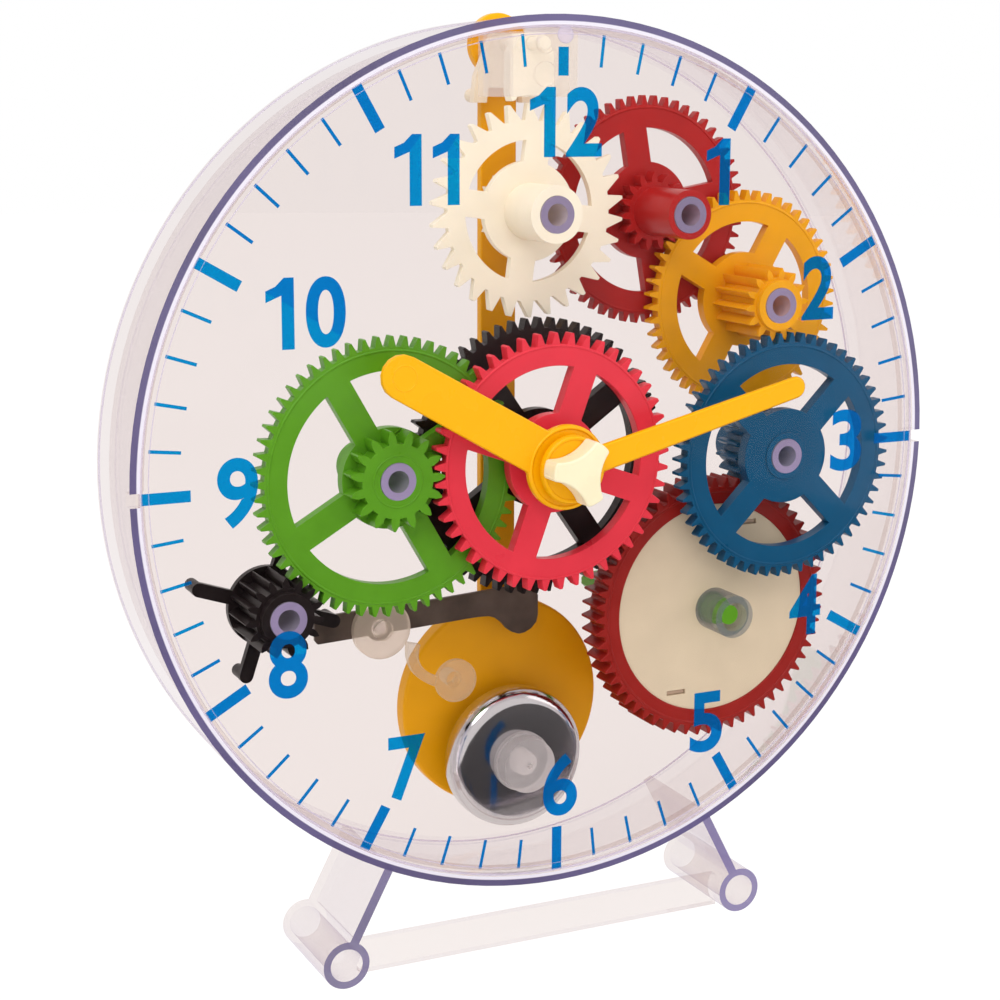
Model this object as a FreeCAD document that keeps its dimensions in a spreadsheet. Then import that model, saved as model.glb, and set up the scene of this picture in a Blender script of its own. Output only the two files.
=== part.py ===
"""Geared teaching clock: a clear round case on a stand, with every wheel of the movement on show.

The model stands on its two foot tubes. +X is to the right, +Z is up and the dial faces -Y.
Inside the case each sub-part is drawn as it is seen from the front, and its heights are
measured forward from the front face of the back plate, the way the pieces are stacked.
"""
import FreeCAD
import Part
import math
import os
from FreeCAD import Placement, Rotation, Vector

doc = FreeCAD.newDocument("TeachingClock")

# Driving dimensions, in millimetres, degrees and counts
DIMENSIONS = [
    ("dial_height", 118.3),
    ("plate_depth", 8.3),
    ("case_radius", 100.0),
    ("case_draft", 0.6),
    ("case_wall", 2.2),
    ("case_depth", 29.0),
    ("plate_thickness", 2.0),
    ("dial_thickness", 1.8),
    ("dial_level", 24.6),
    ("ledge_width", 1.5),
    ("ledge_height", 1.6),
    ("notch_width", 3.0),
    ("notch_depth", 3.2),
    ("post_radius", 4.2),
    ("post_bore", 2.5),
    ("post_height", 24.3),
    ("running_gap", 0.08),
    ("hub_top", 24.0),
    ("hub_foot", 0.5),
    ("flank_play", 0.12),
    # Places of the axes, from the dial's centre
    ("green_x", -38.8),
    ("green_z", -1.2),
    ("blue_x", 62.9),
    ("blue_z", -3.0),
    ("yellow_x", 60.0),
    ("yellow_z", 33.6),
    ("red_x", 34.4),
    ("red_z", 55.6),
    ("escape_x", 0.0),
    ("escape_z", 56.4),
    ("strike_bearing", -137.8),
    ("anchor_z", 94.0),
    ("bell_z", -76.4),
    ("hammer_x", -35.3),
    ("hammer_z", -40.0),
    ("spring_x", -16.6),
    ("spring_z", -54.6),
    # Wheels and pinions
    ("great_module", 1.05),
    ("great_teeth", 60),
    ("minute_teeth", 60),
    ("blue_pinion_teeth", 18),
    ("blue_teeth", 56),
    ("yellow_pinion_teeth", 14),
    ("yellow_teeth", 50),
    ("red_pinion_teeth", 15),
    ("red_teeth", 54),
    ("escape_pinion_teeth", 16),
    ("escape_teeth", 30),
    ("escape_radius", 24.4),
    ("escape_root", 20.6),
    ("cannon_teeth", 15),
    ("green_teeth", 60),
    ("green_pinion_teeth", 15),
    ("hour_teeth", 45),
    ("strike_teeth", 15),
    ("pinion_shift", 0.45),
    ("leaf_share", 0.27),
    ("leaf_count", 20),
    ("motion_shift", 0.3),
    ("rim_width", 7.6),
    ("spoke_width", 6.2),
    # Levels of the wheels above the back plate
    ("hour_level", 20.8),
    ("hour_face", 3.2),
    ("green_level", 16.6),
    ("green_face", 2.8),
    ("cannon_level", 16.2),
    ("cannon_face", 3.6),
    ("minute_level", 12.5),
    ("minute_face", 3.0),
    ("great_level", 8.6),
    ("great_face", 7.6),
    ("blue_level", 20.4),
    ("blue_face", 3.2),
    ("blue_pinion_level", 8.4),
    ("blue_pinion_face", 9.2),
    ("yellow_level", 4.6),
    ("yellow_face", 2.8),
    ("yellow_pinion_top", 22.4),
    ("red_level", 0.8),
    ("red_face", 2.6),
    ("red_pinion_level", 4.3),
    ("red_pinion_face", 3.4),
    ("escape_level", 8.0),
    ("escape_face", 2.0),
    ("escape_pinion_level", 0.6),
    ("escape_pinion_face", 3.2),
    ("strike_level", 10.0),
    ("strike_face", 12.0),
    ("hub_radius", 5.7),
    ("escape_hub_radius", 6.5),
    ("hub_disc_radius", 11.5),
    ("hour_spoke", 20.0),
    ("minute_spoke", 55.0),
    ("green_spoke", 60.0),
    ("blue_spoke", 45.0),
    ("yellow_spoke", 30.0),
    ("red_spoke", 80.0),
    ("escape_spoke", 8.0),
    ("escape_rim", 4.4),
    ("collar_extra", 0.3),
    ("bore_headroom", 0.4),
    # Strike arms
    ("flange_radius", 9.2),
    ("flange_level", 8.2),
    ("flange_face", 1.8),
    ("arm_reach", 16.6),
    ("arm_width", 3.2),
    ("arm_bearing", 18.5),
    ("pin_radius", 1.5),
    ("pin_level", 3.8),
    ("pin_root", 0.4),
    # Centre arbor, hands and knob
    ("centre_post_radius", 1.9),
    ("centre_post_height", 24.0),
    ("arbor_radius", 3.4),
    ("arbor_top", 36.0),
    ("pipe_radius", 5.2),
    ("pipe_top", 31.2),
    ("dial_hole", 5.7),
    ("hour_hand_level", 28.4),
    ("hand_thickness", 1.8),
    ("hour_reach", 50.9),
    ("hour_bearing", 299.7),
    ("hour_ring", 9.8),
    ("hour_root_width", 10.6),
    ("hour_tip_width", 10.0),
    ("minute_root_width", 6.4),
    ("minute_tip_width", 5.2),
    ("minute_ring", 7.9),
    ("minute_hand_level", 31.4),
    ("minute_reach", 63.8),
    ("minute_bearing", 75.7),
    ("knob_level", 33.2),
    ("knob_top", 39.0),
    ("knob_reach", 7.7),
    ("knob_scoop", 10.2),
    ("knob_scoop_offset", 14.3),
    # Mainspring drive
    ("drum_radius", 26.0),
    ("drum_wall", 1.4),
    ("slot_length", 5.2),
    ("slot_width", 1.2),
    ("slot_inset", 3.2),
    ("cover_thickness", 1.4),
    ("cover_sink", 0.4),
    ("winding_radius", 4.0),
    ("winding_end_radius", 2.4),
    ("winding_journal", 3.0),
    ("end_play", 0.4),
    ("bearing_outer", 5.2),
    ("bearing_inner", 3.5),
    ("key_level", -10.4),
    ("key_depth", 12.0),
    ("key_reach", 16.2),
    ("key_thickness", 4.0),
    ("key_root", 5.0),
    ("key_tip_bevel", 1.2),
    ("key_socket_radius", 6.2),
    ("key_socket_length", 5.6),
    ("ratchet_radius", 9.0),
    ("ratchet_depth", 2.0),
    ("ratchet_undercut", 3.0),
    ("click_offset", 5.6),
    ("click_foot_radius", 2.2),
    ("click_gap", 0.5),
    ("ratchet_teeth", 12),
    ("ratchet_level", 4.6),
    ("ratchet_face", 2.6),
    ("click_foot_extra", 0.8),
    ("spring_turns", 5),
    ("spring_strip", 0.9),
    ("spring_inner_gap", 1.2),
    ("spring_floor_gap", 0.2),
    ("spring_top_gap", 0.5),
    # Bell and hammer
    ("bell_radius", 17.5),
    ("bell_front", 7.0),
    ("bell_rim", 0.5),
    ("bell_wall", 1.3),
    ("bell_shoulder", 3.4),
    ("bell_cap_radius", 6.7),
    ("bell_cap_top", 12.0),
    ("bell_post_radius", 5.0),
    ("bell_spigot_radius", 2.9),
    ("bell_cap_lip", 0.6),
    ("bell_lip_thickness", 1.2),
    ("bell_cap_roof", 2.0),
    ("bell_cap_pinhole", 0.7),
    ("lever_level", 2.2),
    ("lever_thickness", 1.2),
    ("hammer_disc_radius", 7.1),
    ("hammer_disc_top", 5.2),
    ("hammer_post_radius", 1.2),
    ("hammer_stem_radius", 2.0),
    ("lever_collar_radius", 3.2),
    ("hammer_boss_radius", 2.4),
    ("hammer_boss_height", 1.0),
    ("hammer_roof", 0.6),
    ("hammer_post_play", 1.0),
    ("spring_disc_radius", 5.2),
    ("spring_blade_half", 1.2),
    ("spring_blade_lift", 1.6),
    ("spring_blade_thickness", 2.0),
    ("spring_pad_lift", 2.2),
    ("spring_pad_thickness", 1.4),
    ("spring_stud_radius", 2.0),
    ("spring_dimple_radius", 0.8),
    # Pendulum and its anchor
    ("bridge_half_width", 8.4),
    ("bridge_bottom", 82.2),
    ("bridge_top", 96.4),
    ("bridge_height", 17.0),
    ("bridge_wall", 1.3),
    ("bridge_boss_radius", 2.8),
    ("bridge_bearing_radius", 2.3),
    ("bridge_boss_height", 1.2),
    ("bridge_boss_drop", 6.8),
    ("bridge_blind", 4.2),
    ("arbor_overrun", 0.4),
    ("anchor_level", 7.6),
    ("anchor_face", 3.4),
    ("anchor_arbor_radius", 1.5),
    ("anchor_arch", 1.7),
    ("anchor_lip", 0.85),
    ("anchor_back", 1.2),
    ("crutch_gap", 1.4),
    ("crutch_thickness", 2.2),
    ("crutch_pin_radius", 1.6),
    ("crutch_pin_drop", 11.6),
    ("rod_level", -9.0),
    ("rod_thickness", 2.5),
    ("rod_width", 9.2),
    ("rod_head_radius", 7.3),

    ("bob_radius", 26.2),
    ("bob_z", -64.4),
    ("bob_level", -9.0),
    ("bob_thickness", 4.8),
    # Stand
    ("foot_spread", 52.5),
    ("foot_drop", -112.7),
    ("foot_radius", 5.6),
    ("foot_bore", 3.9),
    ("foot_front", 24.3),
    ("foot_back", -3.5),
    ("stand_wall", 2.2),
    ("foot_overlap", 1.0),
    ("leg_foot_inset", 1.6),
    ("leg_foot_rise", 1.2),
    ("saddle_z", -88.5),
    ("bar_drop", 0.2),
    ("saddle_gap", 0.03),
    ("saddle_x", 40.5),
    ("bar_height", 8.0),
    ("bar_level", 18.6),
]

sheet = doc.addObject("Spreadsheet::Sheet", "Dimensions")
value = {}
for row, (alias, number) in enumerate(DIMENSIONS, start=1):
    sheet.set(f"A{row}", alias)
    sheet.set(f"B{row}", str(number))
    sheet.setAlias(f"B{row}", alias)
    value[alias] = number
doc.recompute()


def number_of(name):
    """The value that the sheet holds under an alias."""
    return float(sheet.get(name))


def count_of(name):
    """A whole number from the sheet, such as a count of teeth."""
    return int(round(number_of(name)))


# The great wheel's axis follows from the two wheels that it meshes with
great_to_minute = number_of("great_module") * (count_of("great_teeth") + count_of("minute_teeth")) / 2
great_to_blue = number_of("great_module") * (count_of("great_teeth") + count_of("blue_pinion_teeth")) / 2
blue_distance = math.hypot(number_of("blue_x"), number_of("blue_z"))
along = (great_to_minute ** 2 - great_to_blue ** 2 + blue_distance ** 2) / (2 * blue_distance)
across = math.sqrt(great_to_minute ** 2 - along ** 2)
blue_way = Vector(number_of("blue_x") / blue_distance, number_of("blue_z") / blue_distance, 0)
great_centre = blue_way * along + Vector(blue_way.y, -blue_way.x, 0) * across

centre = Vector(0, 0, 0)
green_centre = Vector(number_of("green_x"), number_of("green_z"), 0)
blue_centre = Vector(number_of("blue_x"), number_of("blue_z"), 0)
yellow_centre = Vector(number_of("yellow_x"), number_of("yellow_z"), 0)
red_centre = Vector(number_of("red_x"), number_of("red_z"), 0)
escape_centre = Vector(number_of("escape_x"), number_of("escape_z"), 0)


def from_top(bearing, radius, around=centre):
    """The point at a clockwise bearing from the top of the dial."""
    turn = math.radians(bearing)
    return around + Vector(radius * math.sin(turn), radius * math.cos(turn), 0)


def bearing_to(start, end):
    """The clockwise bearing from one axis to another."""
    return math.degrees(math.atan2(end.x - start.x, end.y - start.y))


motion_distance = green_centre.Length
strike_centre = from_top(number_of("strike_bearing"), motion_distance, green_centre)
hammer_centre = Vector(number_of("hammer_x"), number_of("hammer_z"), 0)
spring_centre = Vector(number_of("spring_x"), number_of("spring_z"), 0)
bell_centre = Vector(0, number_of("bell_z"), 0)
anchor_centre = Vector(0, number_of("anchor_z"), 0)


def pair_module(first, second, teeth_first, teeth_second):
    """The module that makes two wheels mesh at their centre distance."""
    return 2 * (second - first).Length / (count_of(teeth_first) + count_of(teeth_second))


blue_yellow_module = pair_module(blue_centre, yellow_centre, "blue_teeth", "yellow_pinion_teeth")
yellow_red_module = pair_module(yellow_centre, red_centre, "yellow_teeth", "red_pinion_teeth")
red_escape_module = pair_module(red_centre, escape_centre, "red_teeth", "escape_pinion_teeth")
cannon_module = pair_module(centre, green_centre, "cannon_teeth", "green_teeth")
hour_module = pair_module(centre, green_centre, "hour_teeth", "green_pinion_teeth")


def meshed_phase(first, first_phase, first_teeth, second, second_teeth):
    """The bearing of a tooth of the second wheel that puts it in mesh with the first."""
    bearing = bearing_to(first, second)
    first_pitch = 360.0 / first_teeth
    lead = ((bearing - first_phase) / first_pitch) % 1.0
    return bearing + 180 - (0.5 - lead) * 360.0 / second_teeth


PRESSURE_ANGLE = math.radians(20)


def involute(angle):
    return math.tan(angle) - angle


def gear_outline(teeth, module, shift, phase, flank_steps=1):
    """Corner points of a spur gear with involute flanks, seen from the front."""
    pitch = module * teeth / 2
    base = pitch * math.cos(PRESSURE_ANGLE)
    tip = pitch + module * (1 + shift)
    root = pitch - module * (1.25 - shift)
    thickness = module * (math.pi / 2 + 2 * shift * math.tan(PRESSURE_ANGLE))
    half_at_pitch = (thickness / 2 - number_of("flank_play")) / pitch

    def half_angle(radius):
        working = math.acos(min(1.0, base / max(radius, base)))
        flank = half_at_pitch + involute(PRESSURE_ANGLE) - involute(working)
        if teeth < number_of("leaf_count"):
            flank = min(flank, number_of("leaf_share") * 2 * math.pi / teeth)
        return flank

    start = max(root, base)
    radii = [start + (tip - start) * step / flank_steps for step in range(flank_steps + 1)]
    if root < base - 0.05:
        radii.insert(0, root)
    points = []
    for tooth in range(teeth):
        middle = phase + 360.0 * tooth / teeth
        for radius in radii:
            points.append(from_top(middle - math.degrees(half_angle(radius)), radius))
        for radius in reversed(radii):
            points.append(from_top(middle + math.degrees(half_angle(radius)), radius))
    return points


def polygon(name, points):
    wire = doc.addObject("Part::Polygon", name)
    wire.Nodes = points
    wire.Close = True
    return wire


def lift(part, level):
    """Raise a piece to its level above the back plate, bound to the sheet."""
    part.setExpression("Placement.Base.z", level)
    return part


def slab(name, points, level, thickness):
    """A flat piece with a drawn outline."""
    wire = polygon(name + "Outline", points)
    solid = doc.addObject("Part::Extrusion", name)
    solid.Base = wire
    solid.DirMode = "Custom"
    solid.Dir = Vector(0, 0, 1)
    solid.Solid = True
    solid.setExpression("LengthFwd", thickness)
    return lift(solid, level)


UNDER_ALL = "-30"
THROUGH_ALL = "90"


def disc(name, radius, level, thickness, at=centre):
    """A round piece along the depth of the clock."""
    solid = doc.addObject("Part::Cylinder", name)
    solid.setExpression("Radius", radius)
    solid.setExpression("Height", thickness)
    solid.Placement.Base = at
    return lift(solid, level)


def cone(name, radius_low, radius_high, level, thickness, at=centre):
    solid = doc.addObject("Part::Cone", name)
    solid.setExpression("Radius1", radius_low)
    solid.setExpression("Radius2", radius_high)
    solid.setExpression("Height", thickness)
    solid.Placement.Base = at
    return lift(solid, level)


def block(name, corner, width, height, level, thickness):
    """A straight-sided piece; corner, width and height are as seen from the front."""
    solid = doc.addObject("Part::Box", name)
    solid.setExpression("Length", width)
    solid.setExpression("Width", height)
    solid.setExpression("Height", thickness)
    solid.Placement.Base = corner
    return lift(solid, level)


def fuse(name, *pieces):
    joined = doc.addObject("Part::MultiFuse", name)
    joined.Shapes = list(pieces)
    joined.Refine = True
    return joined


def cut(name, body, tool):
    carved = doc.addObject("Part::Cut", name)
    carved.Base = body
    carved.Tool = tool
    carved.Refine = True
    return carved


nodes = []


def seat(piece, label, at=centre, level="0"):
    """Stand a finished sub-part in the clock: up becomes +Z and forward becomes -Y."""
    piece.Label = label
    piece.Placement = Placement(Vector(at.x, 0, at.y), Rotation(Vector(1, 0, 0), 90))
    piece.setExpression("Placement.Base.y", f"Dimensions.plate_depth - ({level})")
    piece.setExpression("Placement.Base.z", f"Dimensions.dial_height + ({at.y})")
    nodes.append(piece)
    return piece


def named(expression):
    """Spell out the sheet's name in front of each alias of an expression."""
    words = expression.replace("(", " ( ").replace(")", " ) ").split()
    return " ".join("Dimensions." + word if word in value else word for word in words)


def toothed(name, teeth, module, shift, phase, level, thickness, flank_steps=1):
    outline = gear_outline(count_of(teeth), module, shift, phase, flank_steps)
    return slab(name, outline, named(level), named(thickness))


def spoked(name, blank, rim_inner, level, thickness, first_spoke):
    """Cut four windows between the spokes of a wheel."""
    low = named(level + " - 1")
    deep = named(thickness + " + 2")
    ring = cut(
        name + "Ring",
        disc(name + "RingOuter", str(rim_inner), low, deep),
        disc(name + "RingInner", named("hub_disc_radius"), low, deep),
    )
    bars = []
    for index in range(2):
        bar = block(name + f"Spoke{index}", centre, "200", named("spoke_width"), low, deep)
        turn = -(first_spoke + 90 * index) + 90
        across_bar = Rotation(Vector(0, 0, 1), turn)
        middle = Vector(-100, -number_of("spoke_width") / 2, 0)
        bar.Placement.Rotation = across_bar
        shifted = across_bar.multVec(middle)
        bar.Placement.Base.x = shifted.x
        bar.Placement.Base.y = shifted.y
        bars.append(bar)
    windows = cut(name + "Windows", ring, fuse(name + "Spokes", *bars))
    return cut(name + "Spoked", blank, windows)


def tip_radius(teeth, module, shift):
    return module * (count_of(teeth) / 2 + 1 + shift)


def bored(name, body, radius, low=UNDER_ALL, tall=THROUGH_ALL):
    """Cut the running bore through a wheel's hub."""
    return cut(name, body, disc(name + "Bore", named(radius), named(low), named(tall)))


POST_FIT = "post_radius + running_gap"
pinion_shift = number_of("pinion_shift")
motion_shift = number_of("motion_shift")
rim_width = number_of("rim_width")


def make_case():
    """Clear drum: a drafted wall, the back plate and the ledge that the dial rests on."""
    outer = cone(
        "CaseOuter",
        named("case_radius - case_draft"),
        named("case_radius"),
        named("- plate_thickness"),
        named("case_depth"),
    )
    inner = cone(
        "CaseInner",
        named("case_radius - case_draft - case_wall"),
        named("case_radius - case_wall"),
        "0",
        named("case_depth"),
    )
    drum = cut("CaseDrum", outer, inner)
    ledge = cut(
        "Ledge",
        disc(
            "LedgeOuter",
            named("case_radius - case_wall / 2"),
            named("dial_level - ledge_height"),
            named("ledge_height"),
        ),
        disc(
            "LedgeInner",
            named("case_radius - case_wall - ledge_width"),
            named("dial_level - ledge_height - 1"),
            named("ledge_height + 2"),
        ),
    )
    shell = fuse("CaseWithLedge", drum, ledge)
    notches = []
    for side in (-1, 1):
        notch = block(
            f"Notch{side + 1}",
            Vector(side * number_of("case_radius") - 6, -number_of("notch_width") / 2, 0),
            "12",
            named("notch_width"),
            named("case_depth - plate_thickness - notch_depth"),
            "10",
        )
        notches.append(notch)
    holes = [
        disc("WindingHole", named("winding_radius + running_gap"), UNDER_ALL, THROUGH_ALL, great_centre),
        disc(
            "AnchorHole", named("anchor_arbor_radius + running_gap"), UNDER_ALL, THROUGH_ALL, anchor_centre
        ),
    ]
    seat(cut("Case", shell, fuse("CaseCuts", *notches, *holes)), "case_shell")


def make_dial():
    """Clear dial with the hole for the hour pipe and the bearing tube for the winding arbor."""
    plate = disc(
        "DialPlate", named("case_radius - case_wall - 0.2"), named("dial_level"), named("dial_thickness")
    )
    bearing_foot = "great_level + great_face + 0.6"
    bearing = disc(
        "WindingBearing",
        named("bearing_outer"),
        named(bearing_foot),
        named(f"dial_level - ( {bearing_foot} )"),
        great_centre,
    )
    body = fuse("DialBody", plate, bearing)
    pipe_hole = disc("PipeHole", named("dial_hole"), UNDER_ALL, THROUGH_ALL)
    bearing_hole = disc("BearingHole", named("bearing_inner"), "0", named("dial_level"), great_centre)
    seat(cut("Dial", body, fuse("DialHoles", pipe_hole, bearing_hole)), "front_dial")


def make_posts():
    """Hollow axle posts that stand on the back plate, one under each wheel."""
    places = {
        "green": green_centre,
        "blue": blue_centre,
        "yellow": yellow_centre,
        "red": red_centre,
        "escape": escape_centre,
        "strike": strike_centre,
    }
    for colour, place in places.items():
        title = colour.capitalize()
        tube = disc(title + "PostOuter", named("post_radius"), "0", named("post_height"))
        hollow = disc(title + "PostInner", named("post_bore"), "3", named("post_height"))
        seat(cut(title + "Post", tube, hollow), colour + "_axle_post", place)
    centre_tube = disc("CentrePost", named("centre_post_radius"), "0", named("centre_post_height"))
    seat(centre_tube, "centre_axle_post")


SLOT_BEARINGS = (205, 25)


def make_great_wheel():
    """Wide toothed drum that holds the mainspring, with its cover and the spring itself."""
    phase = 0.0
    module = number_of("great_module")
    rim = toothed("GreatTeeth", "great_teeth", module, 0, phase, "great_level", "great_face")
    seat_cut = disc(
        "CoverSeat",
        named("drum_radius"),
        named("great_level + great_face - cover_sink - cover_thickness"),
        THROUGH_ALL,
    )
    cavity = disc(
        "DrumCavity", named("drum_radius - drum_wall"), named("great_level + drum_wall"), THROUGH_ALL
    )
    bore = disc("DrumBore", named("winding_radius + running_gap"), UNDER_ALL, THROUGH_ALL)
    seat(cut("GreatWheel", rim, fuse("GreatCuts", seat_cut, cavity, bore)), "great_wheel", great_centre)
    cover = disc(
        "CoverDisc",
        named("drum_radius"),
        named("great_level + great_face - cover_sink - cover_thickness"),
        named("cover_thickness"),
    )
    slots = []
    for index, bearing in enumerate(SLOT_BEARINGS):
        place = from_top(bearing, number_of("drum_radius") - number_of("slot_inset"))
        corner = place - Vector(number_of("slot_length") / 2, number_of("slot_width") / 2, 0)
        slots.append(
            block(
                f"TabSlot{index}", corner, named("slot_length"), named("slot_width"), "0", THROUGH_ALL
            )
        )
    cover_bore = disc("CoverBore", named("winding_radius + running_gap"), UNDER_ALL, THROUGH_ALL)
    seat(cut("BarrelCover", cover, fuse("CoverCuts", cover_bore, *slots)), "barrel_cover", great_centre)
    return phase


def make_mainspring():
    """Flat strip wound in a spiral between the drum wall and the winding arbor."""
    steps_per_turn = 12
    turns = count_of("spring_turns")
    strip = number_of("spring_strip")
    outside = number_of("drum_radius") - number_of("drum_wall") - strip / 2
    inside = number_of("winding_radius") + number_of("spring_inner_gap") + strip / 2
    total = steps_per_turn * turns
    outer_edge = []
    inner_edge = []
    for step in range(total + 1):
        radius = outside - (outside - inside) * step / total
        bearing = 360.0 * step / steps_per_turn
        outer_edge.append(from_top(bearing, radius + strip / 2))
        inner_edge.append(from_top(bearing, radius - strip / 2))
    spring = slab(
        "Mainspring",
        outer_edge + inner_edge[::-1],
        "0",
        named("great_face - cover_sink - cover_thickness - drum_wall - spring_top_gap"),
    )
    seat(spring, "mainspring", great_centre, named("great_level + drum_wall + spring_floor_gap"))


def make_winding():
    """Winding arbor with its ratchet, and the butterfly key behind the case."""
    shaft = disc(
        "WindingShaft",
        named("winding_radius"),
        named("key_level - 3"),
        named("great_level + great_face + end_play - key_level + 3"),
    )
    journal = disc(
        "WindingJournal",
        named("bearing_inner - running_gap"),
        named("great_level + great_face"),
        named("winding_journal"),
    )
    nose = disc(
        "WindingNose",
        named("winding_end_radius"),
        named("great_level"),
        named("dial_level - end_play - great_level"),
    )
    seat(fuse("WindingArbor", shaft, journal, nose), "winding_arbor", great_centre)
    points = []
    teeth = count_of("ratchet_teeth")
    for tooth in range(teeth):
        bearing = 360.0 * tooth / teeth
        points.append(from_top(bearing, number_of("ratchet_radius")))
        root = number_of("ratchet_radius") - number_of("ratchet_depth")
        points.append(from_top(bearing + number_of("ratchet_undercut"), root))
    ratchet = slab("RatchetBlank", points, named("ratchet_level"), named("ratchet_face"))
    ratchet_bore = disc("RatchetBore", named("winding_radius"), UNDER_ALL, THROUGH_ALL)
    seat(cut("Ratchet", ratchet, ratchet_bore), "ratchet_wheel", great_centre)
    pawl_x = number_of("ratchet_radius") + number_of("click_offset")
    pawl = [
        Vector(pawl_x - 2.4, -7.5, 0),
        Vector(pawl_x + 1.8, -8.5, 0),
        Vector(pawl_x + 1.8, 1.5, 0),
        Vector(pawl_x - 1.0, 4.2, 0),
        Vector(number_of("ratchet_radius") + number_of("click_gap"), 2.4, 0),
        Vector(pawl_x - 2.0, -1.0, 0),
    ]
    click = slab("ClickBlade", pawl, named("ratchet_level"), named("ratchet_face"))
    foot = disc(
        "ClickFoot",
        named("click_foot_radius"),
        "0",
        named("ratchet_level + ratchet_face + click_foot_extra"),
        Vector(pawl_x, -6, 0),
    )
    seat(fuse("Click", click, foot), "ratchet_click", great_centre)
    reach = number_of("key_reach")
    half = number_of("key_thickness") / 2
    root = number_of("key_root")
    bevel = number_of("key_tip_bevel")
    wing = []
    for side in (1, -1):
        wing.append(Vector(side * root, side * half * 1.3, 0))
        wing.append(Vector(side * (reach - bevel), side * half, 0))
        wing.append(Vector(side * reach, side * half * 0.4, 0))
        wing.append(Vector(side * reach, -side * half * 0.4, 0))
        wing.append(Vector(side * (reach - bevel), -side * half, 0))
        wing.append(Vector(side * root, -side * half * 1.3, 0))
    blade = slab("KeyBlade", order_round(wing), named("key_level - key_depth"), named("key_depth"))
    socket = disc(
        "KeySocket",
        named("key_socket_radius"),
        named("key_level - key_depth"),
        named("key_depth + key_socket_length"),
    )
    hollow = disc("KeyHollow", named("winding_radius"), named("key_level - 3"), THROUGH_ALL)
    seat(cut("WindingKey", fuse("KeyBody", blade, socket), hollow), "winding_key", great_centre)


def order_round(points):
    """Sort corner points by their angle about the middle."""
    return sorted(points, key=lambda point: math.atan2(point.y, point.x))


def make_hour_wheel(green_phase):
    """Pink hour wheel with the pipe that carries the hour hand."""
    phase = meshed_phase(
        green_centre, green_phase, count_of("green_pinion_teeth"), centre, count_of("hour_teeth")
    )
    blank = toothed("HourTeeth", "hour_teeth", hour_module, -motion_shift, phase, "hour_level", "hour_face")
    inner = tip_radius("hour_teeth", hour_module, -motion_shift) - rim_width
    wheel = spoked("Hour", blank, inner, "hour_level", "hour_face", number_of("hour_spoke"))
    pipe = disc("HourPipe", named("pipe_radius"), named("hour_level"), named("pipe_top - hour_level"))
    seat(bored("HourWheel", fuse("HourBody", wheel, pipe), "arbor_radius + running_gap"), "hour_wheel")


def make_minute_wheel(great_phase):
    """Black minute wheel, its cannon pinion and the arbor that carries the minute hand."""
    phase = meshed_phase(
        great_centre, great_phase, count_of("great_teeth"), centre, count_of("minute_teeth")
    )
    blank = toothed(
        "MinuteTeeth",
        "minute_teeth",
        number_of("great_module"),
        0,
        phase,
        "minute_level",
        "minute_face",
    )
    inner = tip_radius("minute_teeth", number_of("great_module"), 0) - rim_width
    wheel = spoked("Minute", blank, inner, "minute_level", "minute_face", number_of("minute_spoke"))
    boss = disc("MinuteBoss", named("hub_radius"), named("hub_foot"), named("cannon_level - hub_foot"))
    cannon = toothed(
        "Cannon", "cannon_teeth", cannon_module, motion_shift, bearing_to(centre, green_centre),
        "cannon_level", "cannon_face", 2,
    )
    arbor = disc(
        "MinuteArbor", named("arbor_radius"), named("cannon_level"), named("arbor_top - cannon_level")
    )
    body = fuse("MinuteBody", wheel, boss, cannon, arbor)
    seat(
        bored(
            "MinuteWheel",
            body,
            "centre_post_radius + running_gap",
            "0",
            "centre_post_height + bore_headroom",
        ),
        "minute_wheel",
    )


def make_green_wheel():
    """Green wheel of the motion work with its coarse pinion in front."""
    green_teeth = count_of("green_teeth")
    to_centre = bearing_to(green_centre, centre)
    wheel_phase = to_centre + 180.0 / green_teeth
    pinion_phase = to_centre
    blank = toothed(
        "GreenTeeth",
        "green_teeth",
        cannon_module,
        -motion_shift,
        wheel_phase,
        "green_level",
        "green_face",
    )
    inner = tip_radius("green_teeth", cannon_module, -motion_shift) - rim_width
    wheel = spoked("Green", blank, inner, "green_level", "green_face", number_of("green_spoke"))
    top = "green_level + green_face"
    pinion = toothed(
        "GreenPinion", "green_pinion_teeth", hour_module, motion_shift, pinion_phase,
        top, f"hub_top - ( {top} )", 2,
    )
    boss = disc("GreenBoss", named("hub_radius"), named("hub_foot"), named("green_level - hub_foot"))
    body = fuse("GreenBody", wheel, pinion, boss)
    seat(bored("GreenWheel", body, POST_FIT), "green_wheel", green_centre)
    return wheel_phase, pinion_phase


def make_blue_wheel(great_phase):
    """Blue second wheel: a pinion under the great wheel's teeth and a large wheel in front."""
    pinion_phase = meshed_phase(
        great_centre, great_phase, count_of("great_teeth"), blue_centre, count_of("blue_pinion_teeth")
    )
    wheel_phase = bearing_to(blue_centre, yellow_centre)
    blank = toothed(
        "BlueTeeth",
        "blue_teeth",
        blue_yellow_module,
        -pinion_shift,
        wheel_phase,
        "blue_level",
        "blue_face",
    )
    inner = tip_radius("blue_teeth", blue_yellow_module, -pinion_shift) - rim_width
    wheel = spoked("Blue", blank, inner, "blue_level", "blue_face", number_of("blue_spoke"))
    pinion = toothed(
        "BluePinion", "blue_pinion_teeth", number_of("great_module"), 0, pinion_phase,
        "blue_pinion_level", "blue_pinion_face", 2,
    )
    hub = disc("BlueHub", named("hub_radius"), named("hub_foot"), named("hub_top - hub_foot"))
    seat(bored("BlueWheel", fuse("BlueBody", wheel, pinion, hub), POST_FIT), "blue_wheel", blue_centre)
    return wheel_phase


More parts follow.
